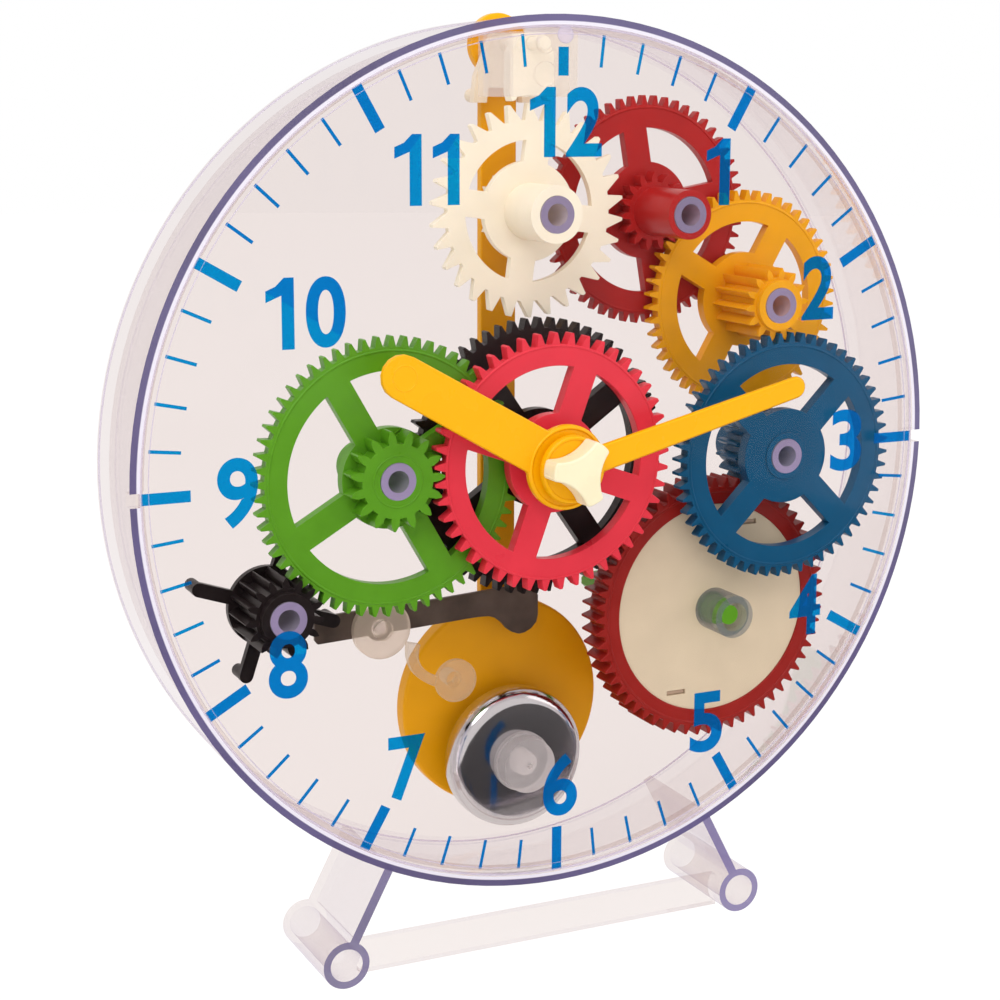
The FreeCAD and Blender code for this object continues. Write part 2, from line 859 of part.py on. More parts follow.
def make_yellow_wheel(blue_phase):
    """Yellow third wheel low in the case with a long pinion up to its collar."""
    pinion_phase = meshed_phase(
        blue_centre, blue_phase, count_of("blue_teeth"), yellow_centre, count_of("yellow_pinion_teeth")
    )
    wheel_phase = bearing_to(yellow_centre, red_centre)
    blank = toothed(
        "YellowTeeth",
        "yellow_teeth",
        yellow_red_module,
        -pinion_shift,
        wheel_phase,
        "yellow_level",
        "yellow_face",
    )
    inner = tip_radius("yellow_teeth", yellow_red_module, -pinion_shift) - rim_width
    wheel = spoked("Yellow", blank, inner, "yellow_level", "yellow_face", number_of("yellow_spoke"))
    foot = "yellow_level + yellow_face"
    pinion = toothed(
        "YellowPinion", "yellow_pinion_teeth", blue_yellow_module, pinion_shift, pinion_phase,
        foot, f"yellow_pinion_top - ( {foot} )", 2,
    )
    hub = disc(
        "YellowHub", named("hub_radius + collar_extra"), named("hub_foot"), named("hub_top - hub_foot")
    )
    seat(
        bored("YellowWheel", fuse("YellowBody", wheel, pinion, hub), POST_FIT),
        "yellow_wheel",
        yellow_centre,
    )
    return wheel_phase


def make_red_wheel(yellow_phase):
    """Red fourth wheel next to the back plate with a short pinion and a long smooth hub."""
    pinion_phase = meshed_phase(
        yellow_centre, yellow_phase, count_of("yellow_teeth"), red_centre, count_of("red_pinion_teeth")
    )
    wheel_phase = bearing_to(red_centre, escape_centre)
    blank = toothed(
        "RedTeeth", "red_teeth", red_escape_module, -pinion_shift, wheel_phase, "red_level", "red_face"
    )
    inner = tip_radius("red_teeth", red_escape_module, -pinion_shift) - rim_width
    wheel = spoked("Red", blank, inner, "red_level", "red_face", number_of("red_spoke"))
    pinion = toothed(
        "RedPinion", "red_pinion_teeth", yellow_red_module, pinion_shift, pinion_phase,
        "red_pinion_level", "red_pinion_face", 2,
    )
    hub = disc("RedHub", named("hub_radius"), named("hub_foot"), named("hub_top - hub_foot"))
    seat(bored("RedWheel", fuse("RedBody", wheel, pinion, hub), POST_FIT), "red_wheel", red_centre)
    return wheel_phase


def make_escape_wheel(red_phase):
    """Cream escape wheel with thorn-shaped teeth, its pinion behind and a wide hub in front."""
    pinion_phase = meshed_phase(
        red_centre, red_phase, count_of("red_teeth"), escape_centre, count_of("escape_pinion_teeth")
    )
    teeth = count_of("escape_teeth")
    pitch = 360.0 / teeth
    tip = number_of("escape_radius")
    root = number_of("escape_root")
    points = []
    for tooth in range(teeth):
        bearing = tooth * pitch
        points.append(from_top(bearing - 0.28 * pitch, root))
        points.append(from_top(bearing - 0.12 * pitch, tip))
        points.append(from_top(bearing + 0.02 * pitch, tip))
        points.append(from_top(bearing + 0.30 * pitch, (root + tip) / 2 - 0.4))
        points.append(from_top(bearing + 0.52 * pitch, root))
    blank = slab("EscapeTeeth", points, named("escape_level"), named("escape_face"))
    inner = root - number_of("escape_rim")
    wheel = spoked("Escape", blank, inner, "escape_level", "escape_face", number_of("escape_spoke"))
    pinion = toothed(
        "EscapePinion", "escape_pinion_teeth", red_escape_module, pinion_shift, pinion_phase,
        "escape_pinion_level", "escape_pinion_face", 2,
    )
    hub = disc("EscapeHub", named("escape_hub_radius"), named("hub_foot"), named("hub_top - hub_foot"))
    seat(
        bored("EscapeWheel", fuse("EscapeBody", wheel, pinion, hub), POST_FIT),
        "escape_wheel",
        escape_centre,
    )


def make_strike_wheel(green_phase):
    """Black strike pinion with a flange and four arms, each with a pin that points backwards."""
    phase = meshed_phase(
        green_centre, green_phase, count_of("green_teeth"), strike_centre, count_of("strike_teeth")
    )
    pinion = toothed(
        "StrikePinion", "strike_teeth", cannon_module, motion_shift, phase, "strike_level", "strike_face", 2
    )
    hub = disc(
        "StrikeHub", named("hub_radius + collar_extra"), named("hub_foot"), named("hub_top - hub_foot")
    )
    flange = disc("StrikeFlange", named("flange_radius"), named("flange_level"), named("flange_face"))
    pieces = [pinion, hub, flange]
    reach = number_of("arm_reach")
    half = number_of("arm_width") / 2
    for index in range(4):
        bearing = number_of("arm_bearing") + 90 * index
        side = from_top(bearing + 90, half)
        start = from_top(bearing, number_of("hub_radius"))
        end = from_top(bearing, reach)
        arm = slab(
            f"StrikeArm{index}",
            [start - side, end - side, end + side, start + side],
            named("flange_level"),
            named("flange_face"),
        )
        rounded = disc(
            f"StrikeArmEnd{index}", named("arm_width / 2"), named("flange_level"), named("flange_face"), end
        )
        pin = disc(
            f"StrikePin{index}",
            named("pin_radius"),
            named("pin_level"),
            named("flange_level - pin_level + pin_root"),
            end,
        )
        pieces += [arm, rounded, pin]
    seat(bored("StrikeWheel", fuse("StrikeBody", *pieces), POST_FIT), "strike_wheel", strike_centre)


SCOOP_BEARINGS = (97.5, 217.5, 337.5)


def hand_outline(hand):
    """Straight tapering hand with a half-round end."""
    bearing = number_of(hand + "_bearing")
    reach = number_of(hand + "_reach")
    half_root = number_of(hand + "_root_width") / 2
    half_tip = number_of(hand + "_tip_width") / 2
    side = from_top(bearing + 90, 1)
    end = from_top(bearing, reach - half_tip)
    points = [side * -half_root]
    for step in range(9):
        angle = bearing - 90 + 180.0 * step / 8
        points.append(end + from_top(angle, half_tip))
    points.append(side * half_root)
    return points


def make_hands():
    """Hour and minute hands, with the three-armed knob that turns them."""
    hour_blade = slab(
        "HourBlade",
        hand_outline("hour"),
        named("hour_hand_level"),
        named("hand_thickness"),
    )
    hour_ring = disc("HourRing", named("hour_ring"), named("hour_hand_level"), named("hand_thickness"))
    hour_eye = disc("HourEye", named("pipe_radius"), UNDER_ALL, THROUGH_ALL)
    seat(cut("HourHand", fuse("HourHandBody", hour_blade, hour_ring), hour_eye), "hour_hand")
    minute_blade = slab(
        "MinuteBlade",
        hand_outline("minute"),
        named("minute_hand_level"),
        named("hand_thickness"),
    )
    minute_ring = disc(
        "MinuteRing", named("minute_ring"), named("minute_hand_level"), named("hand_thickness")
    )
    minute_eye = disc("MinuteEye", named("arbor_radius"), UNDER_ALL, THROUGH_ALL)
    seat(cut("MinuteHand", fuse("MinuteHandBody", minute_blade, minute_ring), minute_eye), "minute_hand")
    knob_blank = disc("KnobBlank", named("knob_reach"), named("knob_level"), named("knob_top - knob_level"))
    scoops = []
    for index, bearing in enumerate(SCOOP_BEARINGS):
        scoop_centre = from_top(bearing, number_of("knob_scoop_offset"))
        scoops.append(disc(f"KnobScoop{index}", named("knob_scoop"), UNDER_ALL, THROUGH_ALL, scoop_centre))
    socket = disc("KnobSocket", named("arbor_radius"), "0", named("arbor_top"))
    star = cut("KnobStar", knob_blank, fuse("KnobScoops", *scoops))
    seat(cut("HandKnob", star, socket), "hand_knob")


def make_bell():
    """Steel bell cup on its post, held by a frosted cap."""
    radius = number_of("bell_radius")
    wall = number_of("bell_wall")
    front = number_of("bell_front")
    rim = number_of("bell_rim")
    shoulder = number_of("bell_shoulder")
    spigot_radius = number_of("bell_spigot_radius")
    steps = 4
    profile = [Vector(spigot_radius, 0, front), Vector(radius - shoulder, 0, front)]
    for step in range(1, steps + 1):
        angle = math.radians(90.0 * step / steps)
        profile.append(
            Vector(
                radius - shoulder + shoulder * math.sin(angle),
                0,
                front - shoulder + shoulder * math.cos(angle),
            )
        )
    profile.append(Vector(radius, 0, rim))
    profile.append(Vector(radius - wall, 0, rim))
    inner_round = shoulder - wall
    for step in range(steps, -1, -1):
        angle = math.radians(90.0 * step / steps)
        profile.append(
            Vector(
                radius - shoulder + inner_round * math.sin(angle),
                0,
                front - shoulder + inner_round * math.cos(angle),
            )
        )
    profile.append(Vector(spigot_radius, 0, front - wall))
    bell = doc.addObject("Part::Revolution", "Bell")
    bell.Source = polygon("BellProfile", profile)
    bell.Axis = Vector(0, 0, 1)
    bell.Base = Vector(0, 0, 0)
    bell.Angle = 360
    bell.Solid = True
    seat(bell, "bell_cup", bell_centre)
    post = disc("BellPost", named("bell_post_radius"), "0", named("bell_front - bell_wall"))
    spigot = disc("BellSpigot", named("bell_spigot_radius"), "0", named("bell_cap_top - bell_cap_roof"))
    seat(fuse("BellPostBody", post, spigot), "bell_post", bell_centre)
    flange = disc(
        "CapFlange",
        named("bell_cap_radius + bell_cap_lip"),
        named("bell_front"),
        named("bell_lip_thickness"),
    )
    crown = disc(
        "CapCrown", named("bell_cap_radius"), named("bell_front"), named("bell_cap_top - bell_front")
    )
    socket = disc("CapSocket", named("bell_spigot_radius"), "0", named("bell_cap_top - bell_cap_roof"))
    pinhole = disc("CapPinhole", named("bell_cap_pinhole"), "0", THROUGH_ALL)
    cap = cut("BellCap", fuse("CapBody", flange, crown), fuse("CapHoles", socket, pinhole))
    seat(cap, "bell_cap", bell_centre)


def make_hammer():
    """Flat steel hammer lever, its frosted hub and post, and the curved return spring."""
    lever_points = [
        Vector(-16.2, 4.0, 0),
        Vector(-16.0, -1.4, 0),
        Vector(-15.3, -2.3, 0),
        Vector(-6.8, -1.9, 0),
        Vector(8.0, -1.1, 0),
        Vector(23.0, -0.3, 0),
        Vector(25.7, -0.2, 0),
        Vector(28.3, -0.3, 0),
        Vector(30.0, -0.9, 0),
        Vector(31.7, -2.2, 0),
        Vector(33.0, -3.8, 0),
        Vector(34.5, -4.9, 0),
        Vector(36.4, -5.6, 0),
        Vector(38.0, -5.4, 0),
        Vector(39.7, -4.6, 0),
        Vector(41.1, -3.1, 0),
        Vector(41.5, -1.3, 0),
        Vector(41.5, 3.6, 0),
        Vector(40.3, 5.9, 0),
        Vector(37.8, 6.7, 0),
        Vector(27.3, 6.1, 0),
        Vector(13.9, 5.3, 0),
        Vector(-8.8, 4.5, 0),
    ]
    lever = slab("LeverBlade", lever_points, named("lever_level"), named("lever_thickness"))
    collar = disc(
        "LeverCollar", named("lever_collar_radius"), named("lever_level"), named("lever_thickness")
    )
    eye = disc("LeverEye", named("hammer_stem_radius"), UNDER_ALL, THROUGH_ALL)
    seat(cut("HammerLever", fuse("LeverBody", lever, collar), eye), "hammer_lever", hammer_centre)
    plate = disc(
        "HammerDisc",
        named("hammer_disc_radius"),
        named("lever_level + lever_thickness"),
        named("hammer_disc_top - lever_level - lever_thickness"),
    )
    stem = disc(
        "HammerStem", named("hammer_stem_radius"), named("hub_foot"), named("hammer_disc_top - hub_foot")
    )
    boss = disc(
        "HammerBoss", named("hammer_boss_radius"), named("hammer_disc_top"), named("hammer_boss_height")
    )
    hollow = disc(
        "HammerHollow",
        named("hammer_post_radius + running_gap"),
        "0",
        named("hammer_disc_top - hammer_roof"),
    )
    seat(cut("HammerHub", fuse("HammerHubBody", plate, stem, boss), hollow), "hammer_hub", hammer_centre)
    post = disc("HammerPost", named("hammer_post_radius"), "0", named("hammer_disc_top - hammer_post_play"))
    seat(post, "hammer_post", hammer_centre)
    start = Vector(-10.8, 10.4, 0)
    middle_way = Vector(-12.7, 3.4, 0)
    end = Vector(-number_of("spring_disc_radius") + 0.6, 0.2, 0)
    arm = []
    for way in (1, -1):
        side = []
        for step in range(9):
            t = step / 8
            point = start * (1 - t) ** 2 + middle_way * 2 * t * (1 - t) + end * t ** 2
            slope = (middle_way - start) * (1 - t) + (end - middle_way) * t
            normal = Vector(-slope.y, slope.x, 0)
            normal.normalize()
            half = number_of("spring_blade_half") * (1 + 0.3 * (1 - t) ** 4)
            side.append(point + normal * way * half)
        arm += side[::way]
    blade = slab(
        "ReturnBlade", arm, named("lever_level + spring_blade_lift"), named("spring_blade_thickness")
    )
    pad = disc(
        "ReturnPad",
        named("spring_disc_radius"),
        named("lever_level + spring_pad_lift"),
        named("spring_pad_thickness"),
    )
    stud = disc("ReturnStud", named("spring_stud_radius"), "0", named("lever_level + spring_pad_lift"))
    dimple = disc(
        "ReturnDimple",
        named("spring_dimple_radius"),
        named("lever_level + spring_pad_lift + spring_pad_thickness / 2"),
        THROUGH_ALL,
    )
    spring = cut("ReturnSpring", fuse("ReturnBody", blade, pad, stud), dimple)
    seat(spring, "hammer_return_spring", spring_centre)


def make_escapement():
    """Clear bridge, the cream pallet anchor on its arbor, and the crutch behind the back plate."""
    half = number_of("bridge_half_width")
    bottom = number_of("bridge_bottom")
    front = block(
        "BridgeFront",
        Vector(-half, bottom - number_of("anchor_z"), 0),
        named("bridge_half_width * 2"),
        named("bridge_top - bridge_bottom"),
        named("bridge_height - bridge_wall"),
        named("bridge_wall"),
    )
    sides = []
    for index, left in enumerate((-half, half - number_of("bridge_wall"))):
        sides.append(
            block(
                f"BridgeSide{index}",
                Vector(left, bottom - number_of("anchor_z"), 0),
                named("bridge_wall"),
                named("bridge_top - bridge_bottom"),
                "0",
                named("bridge_height"),
            )
        )
    lower_boss = disc(
        "BridgeBoss",
        named("bridge_boss_radius"),
        named("bridge_height"),
        named("bridge_boss_height"),
        Vector(0, -number_of("bridge_boss_drop"), 0),
    )
    upper_boss = disc(
        "BridgeBearing", named("bridge_bearing_radius"), named("bridge_height"), named("bridge_boss_height")
    )
    body = fuse("BridgeBody", front, *sides, lower_boss, upper_boss)
    bearing = disc(
        "BridgeBore", named("anchor_arbor_radius + running_gap"), "5", named("bridge_height - bridge_blind")
    )
    seat(cut("Bridge", body, bearing), "anchor_bridge", anchor_centre)
    wheel_drop = number_of("escape_z") - number_of("anchor_z")
    arch = number_of("escape_radius") + number_of("anchor_arch")
    lip = number_of("escape_radius") + number_of("anchor_lip")
    back = arch + number_of("anchor_back")
    below = Vector(0, wheel_drop, 0)
    anchor_points = [
        Vector(-5.6, -2.0, 0),
        from_top(-12.0, back, below),
        from_top(-11.6, lip, below),
        from_top(-9.0, lip + 0.1, below),
        from_top(-8.0, arch, below),
        from_top(-4.0, arch, below),
        from_top(0.0, arch, below),
        from_top(4.0, arch, below),
        from_top(8.0, arch, below),
        from_top(9.0, lip + 0.1, below),
        from_top(11.6, lip, below),
        from_top(12.0, back, below),
        Vector(5.6, -2.0, 0),
        Vector(3.0, 2.2, 0),
        Vector(-3.0, 2.2, 0),
    ]
    anchor = slab("AnchorBlade", anchor_points, named("anchor_level"), named("anchor_face"))
    eye = disc("AnchorEye", named("anchor_arbor_radius"), UNDER_ALL, THROUGH_ALL)
    seat(cut("Anchor", anchor, eye), "pallet_anchor", anchor_centre)
    arbor = disc(
        "AnchorArbor",
        named("anchor_arbor_radius"),
        "0",
        named("bridge_height + arbor_overrun - rod_level"),
    )
    seat(arbor, "anchor_arbor", anchor_centre, named("rod_level"))
    yoke = slab(
        "CrutchYoke",
        [
            Vector(-8.0, -13.2, 0), Vector(-4.6, -13.2, 0), Vector(-4.2, -9.8, 0), Vector(4.2, -9.8, 0),
            Vector(4.6, -13.2, 0), Vector(8.0, -13.2, 0), Vector(7.4, -7.2, 0), Vector(3.2, 2.6, 0),
            Vector(-3.2, 2.6, 0), Vector(-7.4, -7.2, 0),
        ],
        named("- plate_thickness - crutch_gap - crutch_thickness"),
        named("crutch_thickness"),
    )
    pins = []
    for index, side in enumerate((-1, 1)):
        pin_x = side * (number_of("rod_width") / 2 + number_of("crutch_pin_radius"))
        pins.append(
            disc(
                f"CrutchPin{index}",
                named("crutch_pin_radius"),
                named("rod_level"),
                named("- plate_thickness - crutch_gap - 1 - rod_level"),
                Vector(pin_x, -number_of("crutch_pin_drop"), 0),
            )
        )
    crutch_eye = disc("CrutchEye", named("anchor_arbor_radius"), UNDER_ALL, THROUGH_ALL)
    seat(cut("Crutch", fuse("CrutchBody", yoke, *pins), crutch_eye), "pendulum_crutch", anchor_centre)


def make_pendulum():
    """Flat yellow rod with a round head on the arbor, and the disc bob that the rod slots into."""
    drop = number_of("bob_z") - number_of("anchor_z")
    blade = block(
        "RodBlade",
        Vector(-number_of("rod_width") / 2, drop, 0),
        named("rod_width"),
        str(-drop),
        named("rod_level"),
        named("rod_thickness"),
    )
    head = disc("RodHead", named("rod_head_radius"), named("rod_level"), named("rod_thickness"))
    foot = disc(
        "RodFoot",
        named("rod_width / 2"),
        named("rod_level"),
        named("rod_thickness"),
        Vector(0, drop, 0),
    )
    eye = disc("RodEye", named("anchor_arbor_radius"), UNDER_ALL, THROUGH_ALL)
    seat(cut("PendulumRod", fuse("RodBody", blade, head, foot), eye), "pendulum_rod", anchor_centre)
    bob = disc("BobDisc", named("bob_radius"), named("bob_level"), named("bob_thickness"))
    slot = block(
        "BobSlot",
        Vector(-number_of("rod_width") / 2, 0, 0),
        named("rod_width"),
        named("bob_radius + 5"),
        named("rod_level - 1"),
        named("rod_thickness + 1"),
    )
    slot_end = disc(
        "BobSlotEnd", named("rod_width / 2"), named("rod_level - 1"), named("rod_thickness + 1")
    )
    seat(
        cut("Bob", bob, fuse("BobSlots", slot, slot_end)),
        "pendulum_bob",
        Vector(0, number_of("bob_z"), 0),
    )


def make_stand():
    """Clear stand: two foot tubes, a cross bar and two slanting walls up to the case."""
    spread = number_of("foot_spread")
    drop = number_of("foot_drop")
    back = named("foot_back")
    length = named("foot_front - foot_back")
    solids = []
    bores = []
    for side in (-1, 1):
        foot = Vector(side * spread, drop, 0)
        label = "Left" if side < 0 else "Right"
        solids.append(disc("Foot" + label, named("foot_radius"), back, length, foot))
        bores.append(disc("FootBore" + label, named("foot_bore"), UNDER_ALL, THROUGH_ALL, foot))
        top = Vector(side * number_of("saddle_x"), number_of("saddle_z"), 0)
        rise = number_of("foot_radius") - number_of("leg_foot_rise")
        low = foot + Vector(-side * number_of("leg_foot_inset"), rise, 0)
        run = top - low
        normal = Vector(-run.y, run.x, 0)
        normal.normalize()
        thick = normal * (number_of("stand_wall") / 2)
        solids.append(
            slab("Leg" + label, [low - thick, top - thick, top + thick, low + thick], back, length)
        )
    bar = block(
        "CrossBar",
        Vector(
            -spread + number_of("foot_radius") - number_of("foot_overlap"),
            drop - number_of("bar_height") / 2 - number_of("bar_drop"),
            0,
        ),
        named("( foot_spread - foot_radius + foot_overlap ) * 2"),
        named("bar_height"),
        named("bar_level"),
        named("stand_wall"),
    )
    solids.append(bar)
    # The saddle keeps a hair's breadth off the drum, so the two seat without an overlap
    drum = cone(
        "SaddleCut",
        named("case_radius - case_draft + saddle_gap"),
        named("case_radius + saddle_gap"),
        named("- plate_thickness"),
        named("case_depth"),
    )
    behind = disc("SaddleBehind", named("case_radius - case_draft"), "-12", "10")
    frame = cut("StandBored", fuse("StandBody", *solids), fuse("StandBores", *bores))
    seat(cut("Stand", frame, fuse("SaddleTools", drum, behind)), "stand")


def check_document():
    """Stop if any object failed, or a finished sub-part isn't one good solid."""
    for item in doc.Objects:
        if any(word in item.State for word in ("Invalid", "Error")):
            raise RuntimeError(f"{item.Name} failed: {item.State}")
    for node in nodes:
        shape = node.Shape
        if shape.isNull() or not shape.isValid():
            raise RuntimeError(f"{node.Label} has no valid shape")
        if len(shape.Solids) != 1:
            raise RuntimeError(f"{node.Label} is {len(shape.Solids)} solids")


make_case()
make_dial()
make_posts()
great_phase = make_great_wheel()
make_mainspring()
make_winding()
make_minute_wheel(great_phase)
green_phase, green_pinion_phase = make_green_wheel()
make_hour_wheel(green_pinion_phase)
blue_phase = make_blue_wheel(great_phase)
yellow_phase = make_yellow_wheel(blue_phase)
red_phase = make_red_wheel(yellow_phase)
make_escape_wheel(red_phase)
make_strike_wheel(green_phase)
make_hands()
make_bell()
make_hammer()
make_escapement()
make_pendulum()
make_stand()

doc.recompute()
check_document()
os.makedirs("parts", exist_ok=True)
for node in nodes:
    node.Shape.exportStep(os.path.join("parts", node.Label + ".step"))
print(len(nodes), "sub-parts written")
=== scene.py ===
import math

import bpy
from mathutils import Matrix, Vector


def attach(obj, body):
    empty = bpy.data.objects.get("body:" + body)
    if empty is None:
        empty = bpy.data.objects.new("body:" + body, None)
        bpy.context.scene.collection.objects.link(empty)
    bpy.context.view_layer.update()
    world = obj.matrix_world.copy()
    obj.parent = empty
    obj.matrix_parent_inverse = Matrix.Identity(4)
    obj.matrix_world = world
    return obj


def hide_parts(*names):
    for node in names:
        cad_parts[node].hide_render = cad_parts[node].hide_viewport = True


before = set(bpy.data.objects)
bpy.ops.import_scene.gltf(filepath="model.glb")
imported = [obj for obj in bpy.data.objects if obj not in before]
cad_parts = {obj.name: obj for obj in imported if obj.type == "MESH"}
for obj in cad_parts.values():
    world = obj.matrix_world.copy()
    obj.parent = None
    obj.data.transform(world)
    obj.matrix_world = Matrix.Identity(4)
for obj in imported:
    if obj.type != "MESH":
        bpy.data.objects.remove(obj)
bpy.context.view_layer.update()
bpy.ops.object.select_all(action="DESELECT")


# Studio. A matt white table in a white room, with soft lamps at the upper left, the right
# and overhead, low enough that the colours read about as they are. A black card lies on the
# table for mirrored light alone, and darkens the front of the bell.
def give(tree, socket, value):
    """Give a socket a number, a colour, or what another socket sends."""
    if isinstance(value, (int, float)):
        socket.default_value = value
    elif isinstance(value, tuple):
        socket.default_value = (*value, 1)
    else:
        tree.links.new(value, socket)


def maths(tree, operation, first, second):
    """Work out a value of a finish from two others."""
    node = tree.nodes.new("ShaderNodeMath")
    node.operation = operation
    give(tree, node.inputs[0], first)
    give(tree, node.inputs[1], second)
    return node.outputs[0]


def blended(tree, share, first, second):
    """Blend two surfaces: a share of 0 shows only the first, and 1 only the second."""
    blend = tree.nodes.new("ShaderNodeMixShader")
    give(tree, blend.inputs["Fac"], share)
    tree.links.new(first, blend.inputs[1])
    tree.links.new(second, blend.inputs[2])
    return blend.outputs["Shader"]


def seen_directly(tree):
    """1 for what the camera, a mirror or a clear piece sees, and 0 for all other light."""
    rays = tree.nodes.new("ShaderNodeLightPath")
    seen = maths(tree, "MAXIMUM", rays.outputs["Is Camera Ray"], rays.outputs["Is Glossy Ray"])
    return maths(tree, "MAXIMUM", seen, rays.outputs["Is Transmission Ray"])


def new_finish(name, colour, roughness):
    """A new material, with its node tree and its main shader."""
    material = bpy.data.materials.new(name)
    material.use_nodes = True
    shader = material.node_tree.nodes["Principled BSDF"]
    shader.inputs["Base Color"].default_value = (*colour, 1)
    shader.inputs["Roughness"].default_value = roughness
    return material, material.node_tree, shader


world = bpy.data.worlds.new("white_room")
bpy.context.scene.world = world
world.use_nodes = True
room = world.node_tree
room_light = room.nodes["Background"]
room_light.inputs["Color"].default_value = (1.0, 0.99, 0.98, 1)
room_light.inputs["Strength"].default_value = 0.77
room_seen = room.nodes.new("ShaderNodeBackground")
room_seen.inputs["Color"].default_value = (1, 1, 1, 1)
room_seen.inputs["Strength"].default_value = 1.0
room_surface = blended(
    room, seen_directly(room), room_light.outputs["Background"], room_seen.outputs["Background"]
)
room.links.new(room_surface, room.nodes["World Output"].inputs["Surface"])

TABLE_RADIUS = 3.0
TABLE_GLOW_SHARE = 0.85
bpy.ops.mesh.primitive_circle_add(
    vertices=96, radius=TABLE_RADIUS, fill_type="NGON", location=(0, 0, 0)
)
table = bpy.context.object
table.name = "studio_table"
table_finish, table_tree, table_cloth = new_finish("matt_white_table", (0.9, 0.9, 0.9), 0.9)
table_glow = table_tree.nodes.new("ShaderNodeEmission")
table_glow.inputs["Strength"].default_value = 1.08
table_surface = blended(
    table_tree, maths(table_tree, "MULTIPLY", seen_directly(table_tree), TABLE_GLOW_SHARE),
    table_cloth.outputs["BSDF"], table_glow.outputs["Emission"],
)
table_tree.links.new(table_surface, table_tree.nodes["Material Output"].inputs["Surface"])
table.data.materials.append(table_finish)

bpy.ops.mesh.primitive_plane_add(size=1, location=(0.12, -0.42, 0.0006))
card = bpy.context.object
card.name = "studio_dark_card"
card.scale = (0.50, 0.76, 1)
bpy.ops.object.transform_apply(location=True, rotation=True, scale=True)
card.data.materials.append(new_finish("black_card", (0.03, 0.028, 0.03), 0.9)[0])
card.visible_camera = False
card.visible_diffuse = False
card.visible_shadow = False
card.visible_transmission = False

LAMPS_AIM = Vector((0, 0, 0.11))
for lamp_name, place, size, power in (
    ("soft_lamp_left", (-0.75, -0.85, 1.15), 0.7, 6.2),
    ("soft_lamp_right", (1.05, -0.7, 0.6), 0.9, 2.6),
    ("soft_lamp_top", (-0.15, -0.35, 1.25), 0.5, 3.2),
):
    lamp_data = bpy.data.lights.new(lamp_name, "AREA")
    lamp_data.shape = "DISK"
    lamp_data.size = size
    lamp_data.energy = power
    lamp = bpy.data.objects.new(lamp_name, lamp_data)
    bpy.context.scene.collection.objects.link(lamp)
    lamp.location = place
    lamp.rotation_euler = (LAMPS_AIM - Vector(place)).to_track_quat("-Z", "Y").to_euler()

camera_data = bpy.data.cameras.new("photo_camera")
camera_data.sensor_width = 36
camera_data.lens = 72.375
camera_data.shift_x = -0.00915
camera_data.shift_y = -0.00506
camera = bpy.data.objects.new("photo_camera", camera_data)
bpy.context.scene.collection.objects.link(camera)
camera.location = (-0.2057, -0.4188, 0.2014)
camera.rotation_euler = (math.radians(78.684), math.radians(-0.2216), math.radians(-25.6617))
bpy.context.scene.camera = camera
bpy.context.scene.view_settings.view_transform = "Standard"
CLEAR_WALLS_CROSSED = 32
bpy.context.scene.cycles.transparent_max_bounces = CLEAR_WALLS_CROSSED


# Case. A clear styrene drum with a faint lilac cast, moulded in one piece with its back.
# Its walls let the wheels and the white room through, and its cut front edge gathers violet,
# with a painted highlight in a pale band just inside it. Fine clear rings run round the
# dial's seat and the back of the wall.
DIAL_HEIGHT = 0.1183
DIAL_FACE = -0.0181
CENTRE = (0.0, DIAL_HEIGHT)


def lit_through(tree, surface):
    """Let light from the lamps and the room pass a see-through surface unhindered."""
    rays = tree.nodes.new("ShaderNodeLightPath")
    passing = maths(
        tree, "MAXIMUM", rays.outputs["Is Shadow Ray"], rays.outputs["Is Diffuse Ray"]
    )
    open_way = tree.nodes.new("ShaderNodeBsdfTransparent")
    surface = blended(tree, passing, surface, open_way.outputs["BSDF"])
    tree.links.new(surface, tree.nodes["Material Output"].inputs["Surface"])


def cloudy(tree, scale, detail):
    """A cloudy pattern that stays with the piece, for plastic that is never quite even."""
    place = tree.nodes.new("ShaderNodeTexCoord")
    pattern = tree.nodes.new("ShaderNodeTexNoise")
    pattern.inputs["Scale"].default_value = scale
    pattern.inputs["Detail"].default_value = detail
    tree.links.new(place.outputs["Object"], pattern.inputs["Vector"])
    return pattern.outputs["Fac"]


def between(tree, value, low, high, value_low=0.0, value_high=1.0):
    """Turn a value that runs from value_low to value_high into one from low to high."""
    node = tree.nodes.new("ShaderNodeMapRange")
    node.inputs["From Min"].default_value = value_low
    node.inputs["From Max"].default_value = value_high
    node.inputs["To Min"].default_value = low
    node.inputs["To Max"].default_value = high
    tree.links.new(value, node.inputs["Value"])
    return node.outputs[0]


def shaded(tree, pattern, dark, light, low=0.3, high=0.7):
    """Run a colour from dark to light along a pattern."""
    ramp = tree.nodes.new("ShaderNodeValToRGB")
    ramp.color_ramp.elements[0].position = low
    ramp.color_ramp.elements[0].color = (*dark, 1)
    ramp.color_ramp.elements[1].position = high
    ramp.color_ramp.elements[1].color = (*light, 1)
    tree.links.new(pattern, ramp.inputs["Fac"])
    return ramp.outputs["Color"]


def tinted(tree, share, first, second):
    """Run from a first colour to a second one."""
    tint = tree.nodes.new("ShaderNodeMix")
    tint.data_type = "RGBA"
    tree.links.new(share, tint.inputs["Factor"])
    give(tree, tint.inputs["A"], first)
    give(tree, tint.inputs["B"], second)
    return tint.outputs["Result"]


def coated(tree, surface, share, colour, roughness):
    """Cover a share of a surface with a coat of plain plastic."""
    coat = tree.nodes.new("ShaderNodeBsdfPrincipled")
    coat.inputs["Roughness"].default_value = roughness
    give(tree, coat.inputs["Base Color"], colour)
    return blended(tree, share, surface, coat.outputs["BSDF"])


